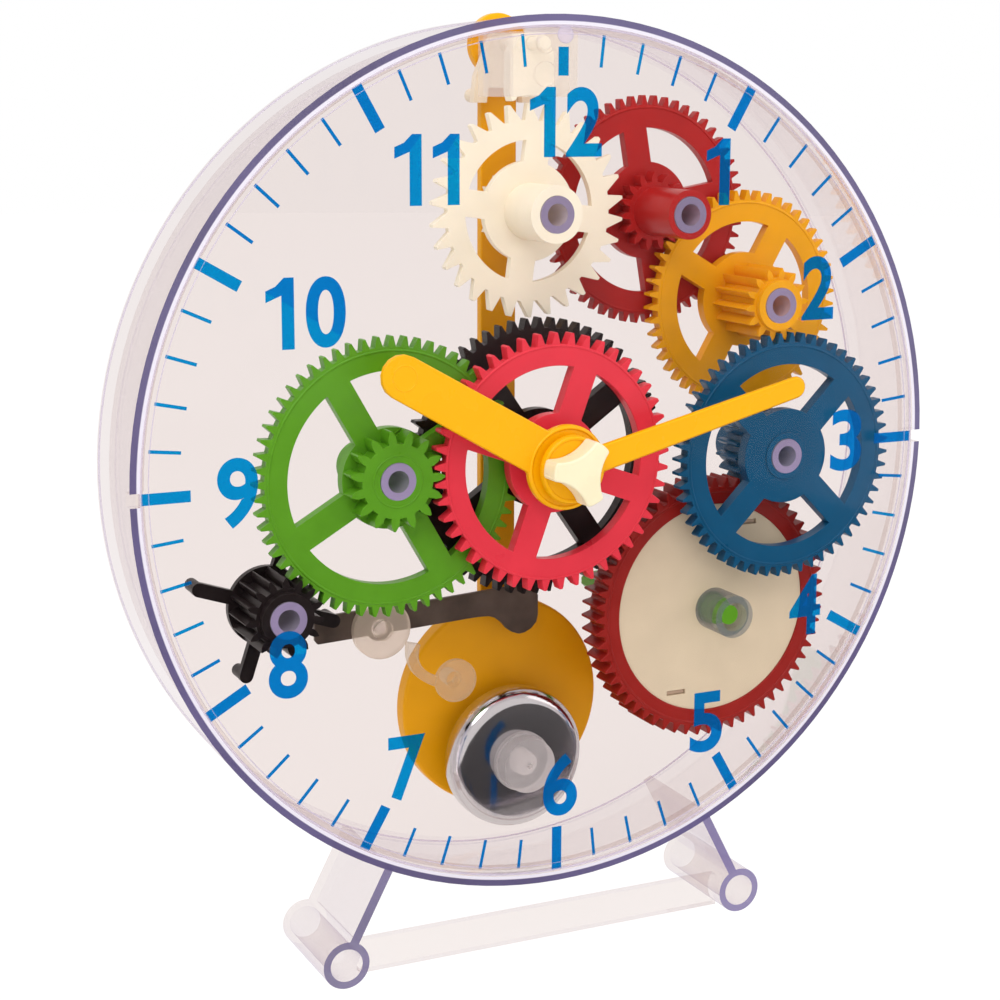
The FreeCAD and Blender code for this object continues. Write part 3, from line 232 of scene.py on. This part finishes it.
def off_axis(tree, axis):
    """How far a point lies from an axis that runs from front to back."""
    place = tree.nodes.new("ShaderNodeTexCoord")
    centred = tree.nodes.new("ShaderNodeMapping")
    centred.inputs["Location"].default_value = (-axis[0], 0, -axis[1])
    flat = tree.nodes.new("ShaderNodeVectorMath")
    flat.operation = "MULTIPLY"
    flat.inputs[1].default_value = (1, 0, 1)
    reach = tree.nodes.new("ShaderNodeVectorMath")
    reach.operation = "LENGTH"
    tree.links.new(place.outputs["Object"], centred.inputs["Vector"])
    tree.links.new(centred.outputs["Vector"], flat.inputs[0])
    tree.links.new(flat.outputs["Vector"], reach.inputs[0])
    return reach.outputs["Value"]


def with_collar(tree, surface, axis, inner, outer, colour, cover):
    """Tint the ring of thicker wall round a bearing."""
    past_inner = maths(tree, "GREATER_THAN", off_axis(tree, axis), inner)
    within_outer = maths(tree, "LESS_THAN", off_axis(tree, axis), outer)
    in_collar = maths(tree, "MULTIPLY", past_inner, within_outer)
    return coated(tree, surface, maths(tree, "MULTIPLY", in_collar, cover), colour, 0.2)


def with_ends(tree, surface, haze, colour, cover, back, painted_highlight=None):
    """Colour the cut faces that look forward and lie in front of back. The band given with
    them is a painted highlight: a pale band on the cut face inside its radius, round the
    case's centre."""
    place = tree.nodes.new("ShaderNodeTexCoord")
    facing = tree.nodes.new("ShaderNodeSeparateXYZ")
    depth = tree.nodes.new("ShaderNodeSeparateXYZ")
    tree.links.new(place.outputs["Normal"], facing.inputs[0])
    tree.links.new(place.outputs["Object"], depth.inputs[0])
    looks_forward = maths(tree, "LESS_THAN", facing.outputs["Y"], -0.9)
    lies_forward = maths(tree, "LESS_THAN", depth.outputs["Y"], back)
    at_end = maths(tree, "MULTIPLY", looks_forward, lies_forward)
    dark = [part * 0.8 for part in colour]
    light = [min(1, part * 1.25) for part in colour]
    end_colour = shaded(tree, haze, dark, light, 0.35, 0.65)
    # A painted highlight: a pale band on the cut face inside the given radius.
    if painted_highlight:
        highlight_radius, highlight_colour = painted_highlight
        inside_highlight = between(
            tree, off_axis(tree, CENTRE), 0.0, 1.0, highlight_radius, highlight_radius - 0.0002
        )
        end_colour = tinted(tree, inside_highlight, end_colour, highlight_colour)
    return coated(tree, surface, maths(tree, "MULTIPLY", at_end, cover), end_colour, 0.15)


def clear_plastic(
    name, let_through, edge_tint, shine=0.8, veil=0.0, milk=(0.86, 0.82, 0.84),
    ends=None, collar=None,
):
    """Clear plastic: see-through when met squarely, tinted and shiny when met at a slant.
    A veil is how milky it is. Ends and collar are what with_ends and with_collar are told."""
    material, tree, gloss = new_finish(name, (0.97, 0.96, 0.98), 0.05)
    gloss.inputs["Metallic"].default_value = 1.0
    slant = tree.nodes.new("ShaderNodeLayerWeight")
    slant.inputs["Blend"].default_value = 0.35
    toward_edge = maths(tree, "POWER", slant.outputs["Facing"], 2.6)
    clear = tree.nodes.new("ShaderNodeBsdfTransparent")
    tree.links.new(tinted(tree, toward_edge, let_through, edge_tint), clear.inputs["Color"])
    mirror = tree.nodes.new("ShaderNodeFresnel")
    mirror.inputs["IOR"].default_value = 1.5
    haze = cloudy(tree, 24, 5)
    uneven_shine = between(tree, haze, shine * 0.8, shine * 1.2, 0.3, 0.7)
    mirrored = maths(tree, "POWER", mirror.outputs[0], 1.7)
    mirrored = maths(tree, "MULTIPLY", mirrored, uneven_shine)
    # More than this, and light is trapped between the walls and leaves dark patches.
    mirrored = maths(tree, "MINIMUM", mirrored, 0.3)
    surface = blended(tree, mirrored, clear.outputs["BSDF"], gloss.outputs["BSDF"])
    if veil:
        surface = coated(tree, surface, veil, milk, 0.3)
    if collar:
        surface = with_collar(tree, surface, **collar)
    if ends:
        surface = with_ends(tree, surface, haze, **ends)
    lit_through(tree, surface)
    return material


def dressed(node, material):
    """Give a solid that keeps its CAD shape the material of the real piece."""
    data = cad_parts[node].data
    data.materials.clear()
    data.materials.append(material)


def joined(parts, name, material, body):
    """Join the copies of one printed or moulded detail into one piece."""
    bpy.ops.object.select_all(action="DESELECT")
    for part in parts:
        part.select_set(True)
    bpy.context.view_layer.objects.active = parts[0]
    if len(parts) > 1:
        bpy.ops.object.join()
    piece = bpy.context.object
    piece.name = name
    piece.data.name = name
    piece.data.materials.clear()
    piece.data.materials.append(material)
    bpy.ops.object.transform_apply(location=True, rotation=True, scale=True)
    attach(piece, body)
    return piece


clear_case = clear_plastic(
    "clear_lilac_case", (0.943, 0.914, 0.900), (0.78, 0.72, 0.76), shine=0.9,
    ends={
        "colour": (0.095, 0.075, 0.19), "cover": 0.96, "back": -0.0184,
        # The pale band inside this radius on the cut front edge is a painted highlight.
        "painted_highlight": (0.0986, (0.80, 0.76, 0.86)),
    },
)
dressed("case_shell", clear_case)

clear_lip = clear_plastic(
    "clear_lip", (0.90, 0.86, 0.93), (0.40, 0.33, 0.56),
    shine=1.6, veil=0.25, milk=(0.80, 0.76, 0.86),
)
CASE_BACK_EDGE = 0.0100
lip_rings = []
for ring_radius, ring_thickness, ring_level in (
    (0.09745, 0.00028, DIAL_FACE),
    (0.0958, 0.00013, DIAL_FACE),
    (0.0990, 0.00022, CASE_BACK_EDGE),
):
    bpy.ops.object.select_all(action="DESELECT")
    bpy.ops.mesh.primitive_torus_add(
        major_radius=ring_radius, minor_radius=ring_thickness,
        major_segments=180, minor_segments=8,
        location=(0, ring_level, DIAL_HEIGHT), rotation=(math.radians(90), 0, 0),
    )
    bpy.ops.object.shade_smooth()
    lip_rings.append(bpy.context.object)
joined(lip_rings, "dial_seat_rings", clear_lip, "case")


# Axle posts. Hollow clear tubes moulded on the back plate, whose lilac end rings show in
# front of every wheel. The middle one is a plain pin inside the minute arbor.
clear_post = clear_plastic(
    "clear_lilac_post", (0.93, 0.91, 0.95), (0.62, 0.57, 0.78),
    veil=0.42, milk=(0.55, 0.50, 0.66),
    ends={"colour": (0.25, 0.20, 0.34), "cover": 0.9, "back": -0.0120},
)
for wheel in ("green", "blue", "yellow", "red", "escape", "strike", "centre"):
    dressed(wheel + "_axle_post", clear_post)


# Going train wheels. Each is one moulding in coloured acetal, with bold teeth, a raised
# bead on the rim, four spokes and a long hub that runs on its post.
def moulded(name, colour, roughness=0.3, depth=0.25, soft=0.0, metal=0.0):
    """Coloured moulded plastic, or stamped metal, with faint flow marks, fine grain and
    uneven gloss. Depth is how dark its marks are, and soft how much light enters it."""
    material, tree, shader = new_finish(name, colour, roughness)
    shader.inputs["IOR"].default_value = 1.4
    shader.inputs["Specular IOR Level"].default_value = 0.3
    shader.inputs["Metallic"].default_value = metal
    if soft:
        shader.inputs["Subsurface Weight"].default_value = soft
        shader.inputs["Subsurface Radius"].default_value = (0.004, 0.003, 0.002)
        shader.inputs["Subsurface Scale"].default_value = 1.0
    flow = cloudy(tree, 140, 3)
    flow_dark = [part * (1 - depth * 0.5) for part in colour]
    flow_colour = shaded(tree, flow, flow_dark, colour)
    uneven_gloss = between(tree, flow, roughness - 0.06, roughness + 0.12)
    tree.links.new(flow_colour, shader.inputs["Base Color"])
    tree.links.new(uneven_gloss, shader.inputs["Roughness"])
    grain = tree.nodes.new("ShaderNodeBump")
    grain.inputs["Strength"].default_value = 0.12
    grain.inputs["Distance"].default_value = 0.00003
    tree.links.new(cloudy(tree, 1400, 2), grain.inputs["Height"])
    tree.links.new(grain.outputs["Normal"], shader.inputs["Normal"])
    return material


SAME_PLACE = 0.000002
FLAT_WITHIN = math.radians(0.6)
EDGE_FROM = math.radians(30)


def eased(node, name, body, material, width, steps=2, facets_joined=True):
    """A copy of a plain solid with its facets joined and its edges rounded, in its place."""
    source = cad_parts[node]
    piece = bpy.data.objects.new(name, source.data.copy())
    piece.data.name = name
    bpy.context.scene.collection.objects.link(piece)
    bpy.ops.object.select_all(action="DESELECT")
    piece.select_set(True)
    bpy.context.view_layer.objects.active = piece
    piece.data.materials.clear()
    piece.data.materials.append(material)
    if piece.data.has_custom_normals:
        bpy.ops.mesh.customdata_custom_splitnormals_clear()
    bpy.ops.object.mode_set(mode="EDIT")
    bpy.ops.mesh.select_all(action="SELECT")
    bpy.ops.mesh.remove_doubles(threshold=SAME_PLACE)
    if facets_joined:
        bpy.ops.mesh.dissolve_limited(angle_limit=FLAT_WITHIN)
    bpy.ops.object.mode_set(mode="OBJECT")
    bpy.ops.object.shade_smooth_by_angle(angle=EDGE_FROM)
    ease = piece.modifiers.new("eased_edges", "BEVEL")
    ease.width = width
    ease.segments = steps
    ease.limit_method = "ANGLE"
    ease.angle_limit = EDGE_FROM
    ease.harden_normals = True
    bpy.ops.object.modifier_apply(modifier=ease.name)
    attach(piece, body)
    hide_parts(node)
    return piece


BEAD_REACH = 0.0045


def bead(piece, centre, radius, thickness=0.0004, sink=0.5, front=None):
    """Join a raised ring to the front of a wheel or hand. Its front face is looked for
    within a short reach of the ring where none is given."""
    x, z = centre
    if front is None:
        front = min(
            v.co.y for v in piece.data.vertices
            if abs(math.hypot(v.co.x - x, v.co.z - z) - radius) < BEAD_REACH
        )
    bpy.ops.object.select_all(action="DESELECT")
    bpy.ops.mesh.primitive_torus_add(
        major_radius=radius, minor_radius=thickness, major_segments=96, minor_segments=8,
        location=(x, front + thickness * sink, z), rotation=(math.radians(90), 0, 0),
    )
    ring = bpy.context.object
    bpy.ops.object.transform_apply(location=True, rotation=True, scale=True)
    bpy.ops.object.shade_smooth()
    ring.data.materials.append(piece.data.materials[0])
    piece.select_set(True)
    bpy.context.view_layer.objects.active = piece
    bpy.ops.object.join()


GREAT = (0.047783, 0.077242)
BLUE = (0.0629, 0.1153)
YELLOW = (0.060, 0.1519)
RED = (0.0344, 0.1739)
TOOTH_EASE = 0.00028

crimson = moulded("crimson_acetal", (0.33, 0.014, 0.010))
great_wheel = eased(
    "great_wheel", "great_wheel_moulding", "great", crimson, TOOTH_EASE
)
bead(great_wheel, GREAT, 0.0292)

blue = moulded("blue_acetal", (0.0, 0.080, 0.185), roughness=0.28)
blue_wheel = eased("blue_wheel", "blue_wheel_moulding", "blue", blue, TOOTH_EASE)
bead(blue_wheel, BLUE, 0.0268)

yellow = moulded("yellow_acetal", (0.86, 0.38, 0.001))
yellow_wheel = eased(
    "yellow_wheel", "yellow_wheel_moulding", "yellow", yellow, TOOTH_EASE
)
bead(yellow_wheel, YELLOW, 0.0236)

# Joined facets would shade wrongly beside the holes of this wheel alone.
red = moulded("red_acetal", (0.43, 0.012, 0.011), roughness=0.28)
red_wheel = eased(
    "red_wheel", "red_wheel_moulding", "red", red, TOOTH_EASE,
    facets_joined=False,
)
bead(red_wheel, RED, 0.0243)

cream = moulded("cream_acetal", (0.94, 0.85, 0.68), roughness=0.34, depth=0.12, soft=0.1)
eased("escape_wheel", "escape_wheel_moulding", "escape", cream, 0.00022)


# Drum cover and mainspring. A cream lid pressed into the great wheel, with a pale tab in each
# of its two slots, whose cream is darkened with painted shade of the slot's recess, over a flat
# steel spring that sits in the drum out of sight.
cover_cream = moulded("cover_cream", (0.71, 0.59, 0.42), roughness=0.42, depth=0.12)
eased("barrel_cover", "drum_cover_disc", "great", cover_cream, 0.00015)

TAB_RADIUS = 0.0228
TAB_LEVEL = -0.0066
TAB_SIZE = (0.0050, 0.0009, 0.0010)
# The tabs' cream is darker than the lid's: painted shade of the recesses they fill.
tab_cream_and_shade = moulded("tab_cream_and_shade", (0.50, 0.36, 0.26), roughness=0.45, depth=0.1)
tabs = []
for bearing in (math.radians(205), math.radians(25)):
    bpy.ops.object.select_all(action="DESELECT")
    bpy.ops.mesh.primitive_cube_add(size=1)
    tab = bpy.context.object
    tab.scale = TAB_SIZE
    tab.location = (
        GREAT[0] + TAB_RADIUS * math.sin(bearing), TAB_LEVEL,
        GREAT[1] + TAB_RADIUS * math.cos(bearing),
    )
    bpy.ops.object.transform_apply(location=True, rotation=True, scale=True)
    bpy.ops.object.mode_set(mode="EDIT")
    bpy.ops.mesh.select_all(action="SELECT")
    bpy.ops.mesh.bevel(offset=0.0002, segments=2)
    bpy.ops.object.mode_set(mode="OBJECT")
    tabs.append(tab)
joined(tabs, "drum_cover_tabs", tab_cream_and_shade, "great")

spring_steel = moulded("spring_steel", (0.30, 0.31, 0.33), metal=1.0)
dressed("mainspring", spring_steel)


# Winding arbor, ratchet and key. The green arbor runs from the key behind the case to the
# clear bearing in the dial, and a white ratchet and click hold what is wound.
green = moulded("green_acetal", (0.105, 0.335, 0.012), roughness=0.28)
eased("winding_arbor", "winding_arbor_moulding", "winding", green, 0.00015)
eased("winding_key", "winding_key_moulding", "winding", green, 0.0006, steps=3)
white = moulded("ratchet_white", (0.90, 0.86, 0.78), roughness=0.4, depth=0.1)
eased("ratchet_wheel", "ratchet_wheel_moulding", "winding", white, 0.00015)
eased("ratchet_click", "ratchet_click_moulding", "case", white, 0.0003)


# Motion work. The black minute wheel, the green wheel and the pink hour wheel, which turn
# the two hands at their own rates.
GREEN = (-0.0388, 0.1171)
black = moulded("black_acetal", (0.014, 0.009, 0.009))
eased("minute_wheel", "minute_wheel_moulding", "minute", black, 0.00018)

green_wheel = eased(
    "green_wheel", "green_wheel_moulding", "green", green, TOOTH_EASE
)
bead(green_wheel, GREEN, 0.0286)
bead(green_wheel, GREEN, 0.0058, thickness=0.0003)

pink = moulded("pink_acetal", (0.80, 0.038, 0.064), roughness=0.28, depth=0.15)
hour_wheel = eased("hour_wheel", "hour_wheel_moulding", "hour", pink, TOOTH_EASE)
bead(hour_wheel, CENTRE, 0.0270)


# Strike wheel. A black long-leaved pinion, moulded in one piece with bent arms that end in
# pins and pass in front of the hammer.
eased("strike_wheel", "strike_wheel_moulding", "strike", black, 0.0002)


# Bell. A polished steel cup on a frosted post, with a frosted cap pressed over its middle.
# The cup is spun and polished, and the post and cap are moulded in milky plastic.
steel, _, steel_shader = new_finish("polished_steel", (0.66, 0.66, 0.67), 0.12)
steel_shader.inputs["Metallic"].default_value = 1.0
eased("bell_cup", "bell_cup_polished", "case", steel, 0.0003)


def frosted_plastic(name, colour, cover):
    """Milky plastic that shows what lies close behind it, and lets the light through."""
    material, tree, milk = new_finish(name, colour, 0.38)
    milk_dark = [part * 0.9 for part in colour]
    milk_colour = shaded(tree, cloudy(tree, 160, 4), milk_dark, colour)
    tree.links.new(milk_colour, milk.inputs["Base Color"])
    clear = tree.nodes.new("ShaderNodeBsdfTransparent")
    clear.inputs["Color"].default_value = (0.94, 0.92, 0.9, 1)
    slant = tree.nodes.new("ShaderNodeLayerWeight")
    slant.inputs["Blend"].default_value = 0.4
    thicker = between(tree, slant.outputs["Facing"], cover, min(1.0, cover + 0.35))
    lit_through(tree, blended(tree, thicker, clear.outputs["BSDF"], milk.outputs["BSDF"]))
    return material


frosted_cap = frosted_plastic("frosted_cap", (0.62, 0.57, 0.57), cover=0.55)
dressed("bell_post", frosted_cap)
dressed("bell_cap", frosted_cap)


# Hammer. A stamped steel lever on a frosted hub, its pin in the case, and the frosted
# curved spring that lifts it off the bell.
lever_steel = moulded(
    "stamped_steel", (0.16, 0.115, 0.092), roughness=0.42, depth=0.9, metal=0.5
)
eased("hammer_lever", "hammer_lever_stamping", "hammer", lever_steel, 0.00015)
frosted_hub = frosted_plastic("frosted_hub", (0.86, 0.68, 0.55), cover=0.42)
dressed("hammer_hub", frosted_hub)
dressed("hammer_post", clear_post)
frosted_strap = frosted_plastic("frosted_strap", (0.74, 0.55, 0.36), cover=0.24)
dressed("hammer_return_spring", frosted_strap)


# Pendulum. A yellow rod and flat bob behind the case, on the cream arbor that carries the
# pallets between the clear bracket's two walls.
bob_yellow = moulded("bob_yellow", (0.96, 0.45, 0.001), roughness=0.34, depth=0.12)
for node, finish, slot, width, steps in (
    ("pendulum_rod", bob_yellow, "pendulum_plastic", 0.0004, 2),
    ("pendulum_bob", bob_yellow, "pendulum_plastic", 0.0008, 3),
    ("anchor_arbor", cream, "cream_plastic", 0.0002, 2),
    ("pallet_anchor", cream, "cream_plastic", 0.0002, 2),
    ("pendulum_crutch", cream, "cream_plastic", 0.0002, 2),
):
    eased(node, node + "_moulding", "pendulum", finish, width, steps)
clear_bracket = clear_plastic(
    "clear_bracket", (0.96, 0.94, 0.92), (0.72, 0.66, 0.76),
    veil=0.22, milk=(0.97, 0.92, 0.83),
)
dressed("anchor_bridge", clear_bracket)


# Dial. A clear disc let into the front of the case, with a small boss at its top and the
# key arbor's bearing in a thicker collar. Its blue marks and numbers are printed on it.
clear_dial = clear_plastic(
    "clear_dial", (0.967, 0.948, 0.947), (0.66, 0.60, 0.80), shine=0.6,
    collar={
        "axis": GREAT, "inner": 0.0035, "outer": 0.0052,
        "colour": (0.13, 0.15, 0.16), "cover": 0.6,
    },
)
dressed("front_dial", clear_dial)

bpy.ops.object.select_all(action="DESELECT")
bpy.ops.mesh.primitive_cylinder_add(
    vertices=48, radius=0.0019, depth=0.0008,
    location=(0.0004, -0.0182, DIAL_HEIGHT + 0.0956), rotation=(math.radians(90), 0, 0),
)
boss = bpy.context.object
bpy.ops.object.transform_apply(location=True, rotation=True, scale=True)
bpy.ops.object.mode_set(mode="EDIT")
bpy.ops.mesh.select_all(action="SELECT")
bpy.ops.mesh.bevel(offset=0.0003, segments=3)
bpy.ops.object.mode_set(mode="OBJECT")
bpy.ops.object.shade_smooth_by_angle(angle=EDGE_FROM)
joined([boss], "dial_top_boss", clear_lip, "case")

ink, ink_tree, ink_body = new_finish("blue_dial_ink", (0.0, 0.20, 0.60), 0.35)
ink_body.inputs["IOR"].default_value = 1.25
ink_clear = ink_tree.nodes.new("ShaderNodeBsdfTransparent")
ink_clear.inputs["Color"].default_value = (0.0, 0.49, 0.77, 1)
INK_COVER = 0.3
lit_through(
    ink_tree,
    blended(ink_tree, INK_COVER, ink_clear.outputs["BSDF"], ink_body.outputs["BSDF"]),
)

INK_DEPTH = 0.00006
MINUTE_MARK = (0.0891, 0.09605, 0.00075)
HOUR_MARK = (0.0868, 0.0974, 0.0025)
TWELVE_MARK = (0.0868, 0.0930, 0.0025)
hour_marks = []
minute_marks = []
for minute in range(60):
    bearing = math.radians(6 * minute)
    if minute % 5:
        inner, outer, width = MINUTE_MARK
    elif minute:
        inner, outer, width = HOUR_MARK
    else:
        inner, outer, width = TWELVE_MARK
    middle = (inner + outer) / 2
    bpy.ops.mesh.primitive_cube_add(size=1)
    mark = bpy.context.object
    mark.scale = (width, INK_DEPTH, outer - inner)
    mark.rotation_euler = (0, bearing, 0)
    mark.location = (
        middle * math.sin(bearing),
        DIAL_FACE - INK_DEPTH / 2,
        DIAL_HEIGHT + middle * math.cos(bearing),
    )
    bpy.ops.object.transform_apply(location=True, rotation=True, scale=True)
    (minute_marks if minute % 5 else hour_marks).append(mark)
joined(hour_marks, "dial_hour_marks", ink, "case")
joined(minute_marks, "dial_minute_marks", ink, "case")

# Each number's middle, in millimetres to the right of and above the dial's centre.
NUMBER_PLACES = {
    "1": (40.2, 65.4), "2": (68.8, 37.7), "3": (78.5, 0.2), "4": (68.1, -40.2),
    "5": (40.5, -66.5), "6": (0.8, -76.6), "7": (-38.2, -66.7), "8": (-66.0, -39.2),
    "9": (-76.5, -0.2), "10": (-60.6, 37.3), "11": (-32.6, 66.8), "12": (0.8, 76.8),
}
FLAGGED_ONE = (
    (0.0063, 0.0), (0.0063, 0.0150), (0.0041, 0.0150), (0.0022, 0.0132),
    (0.0, 0.0123), (0.0, 0.0099), (0.0035, 0.0113), (0.0035, 0.0),
)
DIGIT_HEIGHT = 0.0152
DIGIT_WIDTH = 0.0090
ONE_WIDTH = 0.0063
DIGIT_GAP = 0.0026
DIGIT_DEPTH_DRAWN = 0.02


def digit(character, left, middle, wide):
    """One printed digit, standing on the dial with its left edge and middle height given.
    The 1 has a flag, and the 9 is the 6 turned round."""
    if character == "1":
        bpy.ops.mesh.primitive_circle_add(
            vertices=len(FLAGGED_ONE), radius=0.01, fill_type="NGON"
        )
        shape = bpy.context.object
        for corner, place in zip(shape.data.vertices, FLAGGED_ONE):
            corner.co = (place[0], place[1], 0)
        bpy.ops.object.mode_set(mode="EDIT")
        bpy.ops.mesh.select_all(action="SELECT")
        bpy.ops.mesh.extrude_region_move(
            TRANSFORM_OT_translate={"value": (0, 0, DIGIT_DEPTH_DRAWN)}
        )
        bpy.ops.mesh.select_all(action="SELECT")
        bpy.ops.mesh.normals_make_consistent(inside=False)
        bpy.ops.object.mode_set(mode="OBJECT")
    else:
        bpy.ops.object.text_add()
        text = bpy.context.object
        text.data.body = "6" if character == "9" else character
        text.data.offset = 0.025
        text.data.extrude = DIGIT_DEPTH_DRAWN / 2
        bpy.ops.object.convert(target="MESH")
        shape = bpy.context.object
        if character == "9":
            shape.data.transform(Matrix.Rotation(math.pi, 4, "Z"))
    low = [min(v.co[k] for v in shape.data.vertices) for k in range(3)]
    high = [max(v.co[k] for v in shape.data.vertices) for k in range(3)]
    shape.data.transform(Matrix.Translation([-low[0], -(low[1] + high[1]) / 2, -low[2]]))
    shape.scale = (
        wide / (high[0] - low[0]), DIGIT_HEIGHT / (high[1] - low[1]),
        INK_DEPTH / DIGIT_DEPTH_DRAWN,
    )
    shape.rotation_euler = (math.radians(90), 0, 0)
    shape.location = (left, DIAL_FACE, middle)
    bpy.ops.object.transform_apply(location=True, rotation=True, scale=True)
    return shape


numbers = []
for number, (x, z) in NUMBER_PLACES.items():
    widths = [ONE_WIDTH if character == "1" else DIGIT_WIDTH for character in number]
    left = x / 1000 - (sum(widths) + DIGIT_GAP * (len(number) - 1)) / 2
    for character, wide in zip(number, widths):
        numbers.append(digit(character, left, DIAL_HEIGHT + z / 1000, wide))
        left += wide + DIGIT_GAP
joined(numbers, "dial_numbers", ink, "case")


# Hands. Two thick orange-yellow mouldings with bevelled edges, pushed on the pipe and the
# arbor, and a three-armed cream knob that turns them.
HAND_BEVEL = 0.0009
hand_orange = moulded("hand_orange", (0.95, 0.445, 0.001), roughness=0.24, depth=0.06)

HOUR_HAND_FACE = -0.0219
HOUR_TIP_BEARING = math.radians(299.7)
HOUR_TIP_REACH = 0.0456
hour_tip = (
    HOUR_TIP_REACH * math.sin(HOUR_TIP_BEARING),
    DIAL_HEIGHT + HOUR_TIP_REACH * math.cos(HOUR_TIP_BEARING),
)
hour_hand = eased(
    "hour_hand", "hour_hand_moulding", "hour", hand_orange, HAND_BEVEL,
    steps=1,
)
bead(hour_hand, hour_tip, 0.0028, thickness=0.00022, sink=0.6, front=HOUR_HAND_FACE)
bead(hour_hand, CENTRE, 0.0091, thickness=0.00045, sink=0.4, front=HOUR_HAND_FACE)

MINUTE_HAND_FACE = -0.0249
minute_hand = eased(
    "minute_hand", "minute_hand_moulding", "minute", hand_orange,
    HAND_BEVEL, steps=1,
)
bead(minute_hand, CENTRE, 0.0072, thickness=0.0005, sink=0.4, front=MINUTE_HAND_FACE)

knob_cream = moulded("knob_cream", (0.95, 0.84, 0.58), roughness=0.26, depth=0.12, soft=0.15)
eased("hand_knob", "hand_knob_moulding", "minute", knob_cream, 0.0006)


# Stand. A clear saddle with two sloping legs and a cross bar, on two hollow foot tubes,
# moulded in the case's plastic, whose cut front edges gather violet too.
clear_stand = clear_plastic(
    "clear_stand", (0.935, 0.903, 0.89), (0.70, 0.64, 0.74), veil=0.05,
    ends={"colour": (0.15, 0.12, 0.28), "cover": 0.88, "back": -0.0150},
)
dressed("stand", clear_stand)
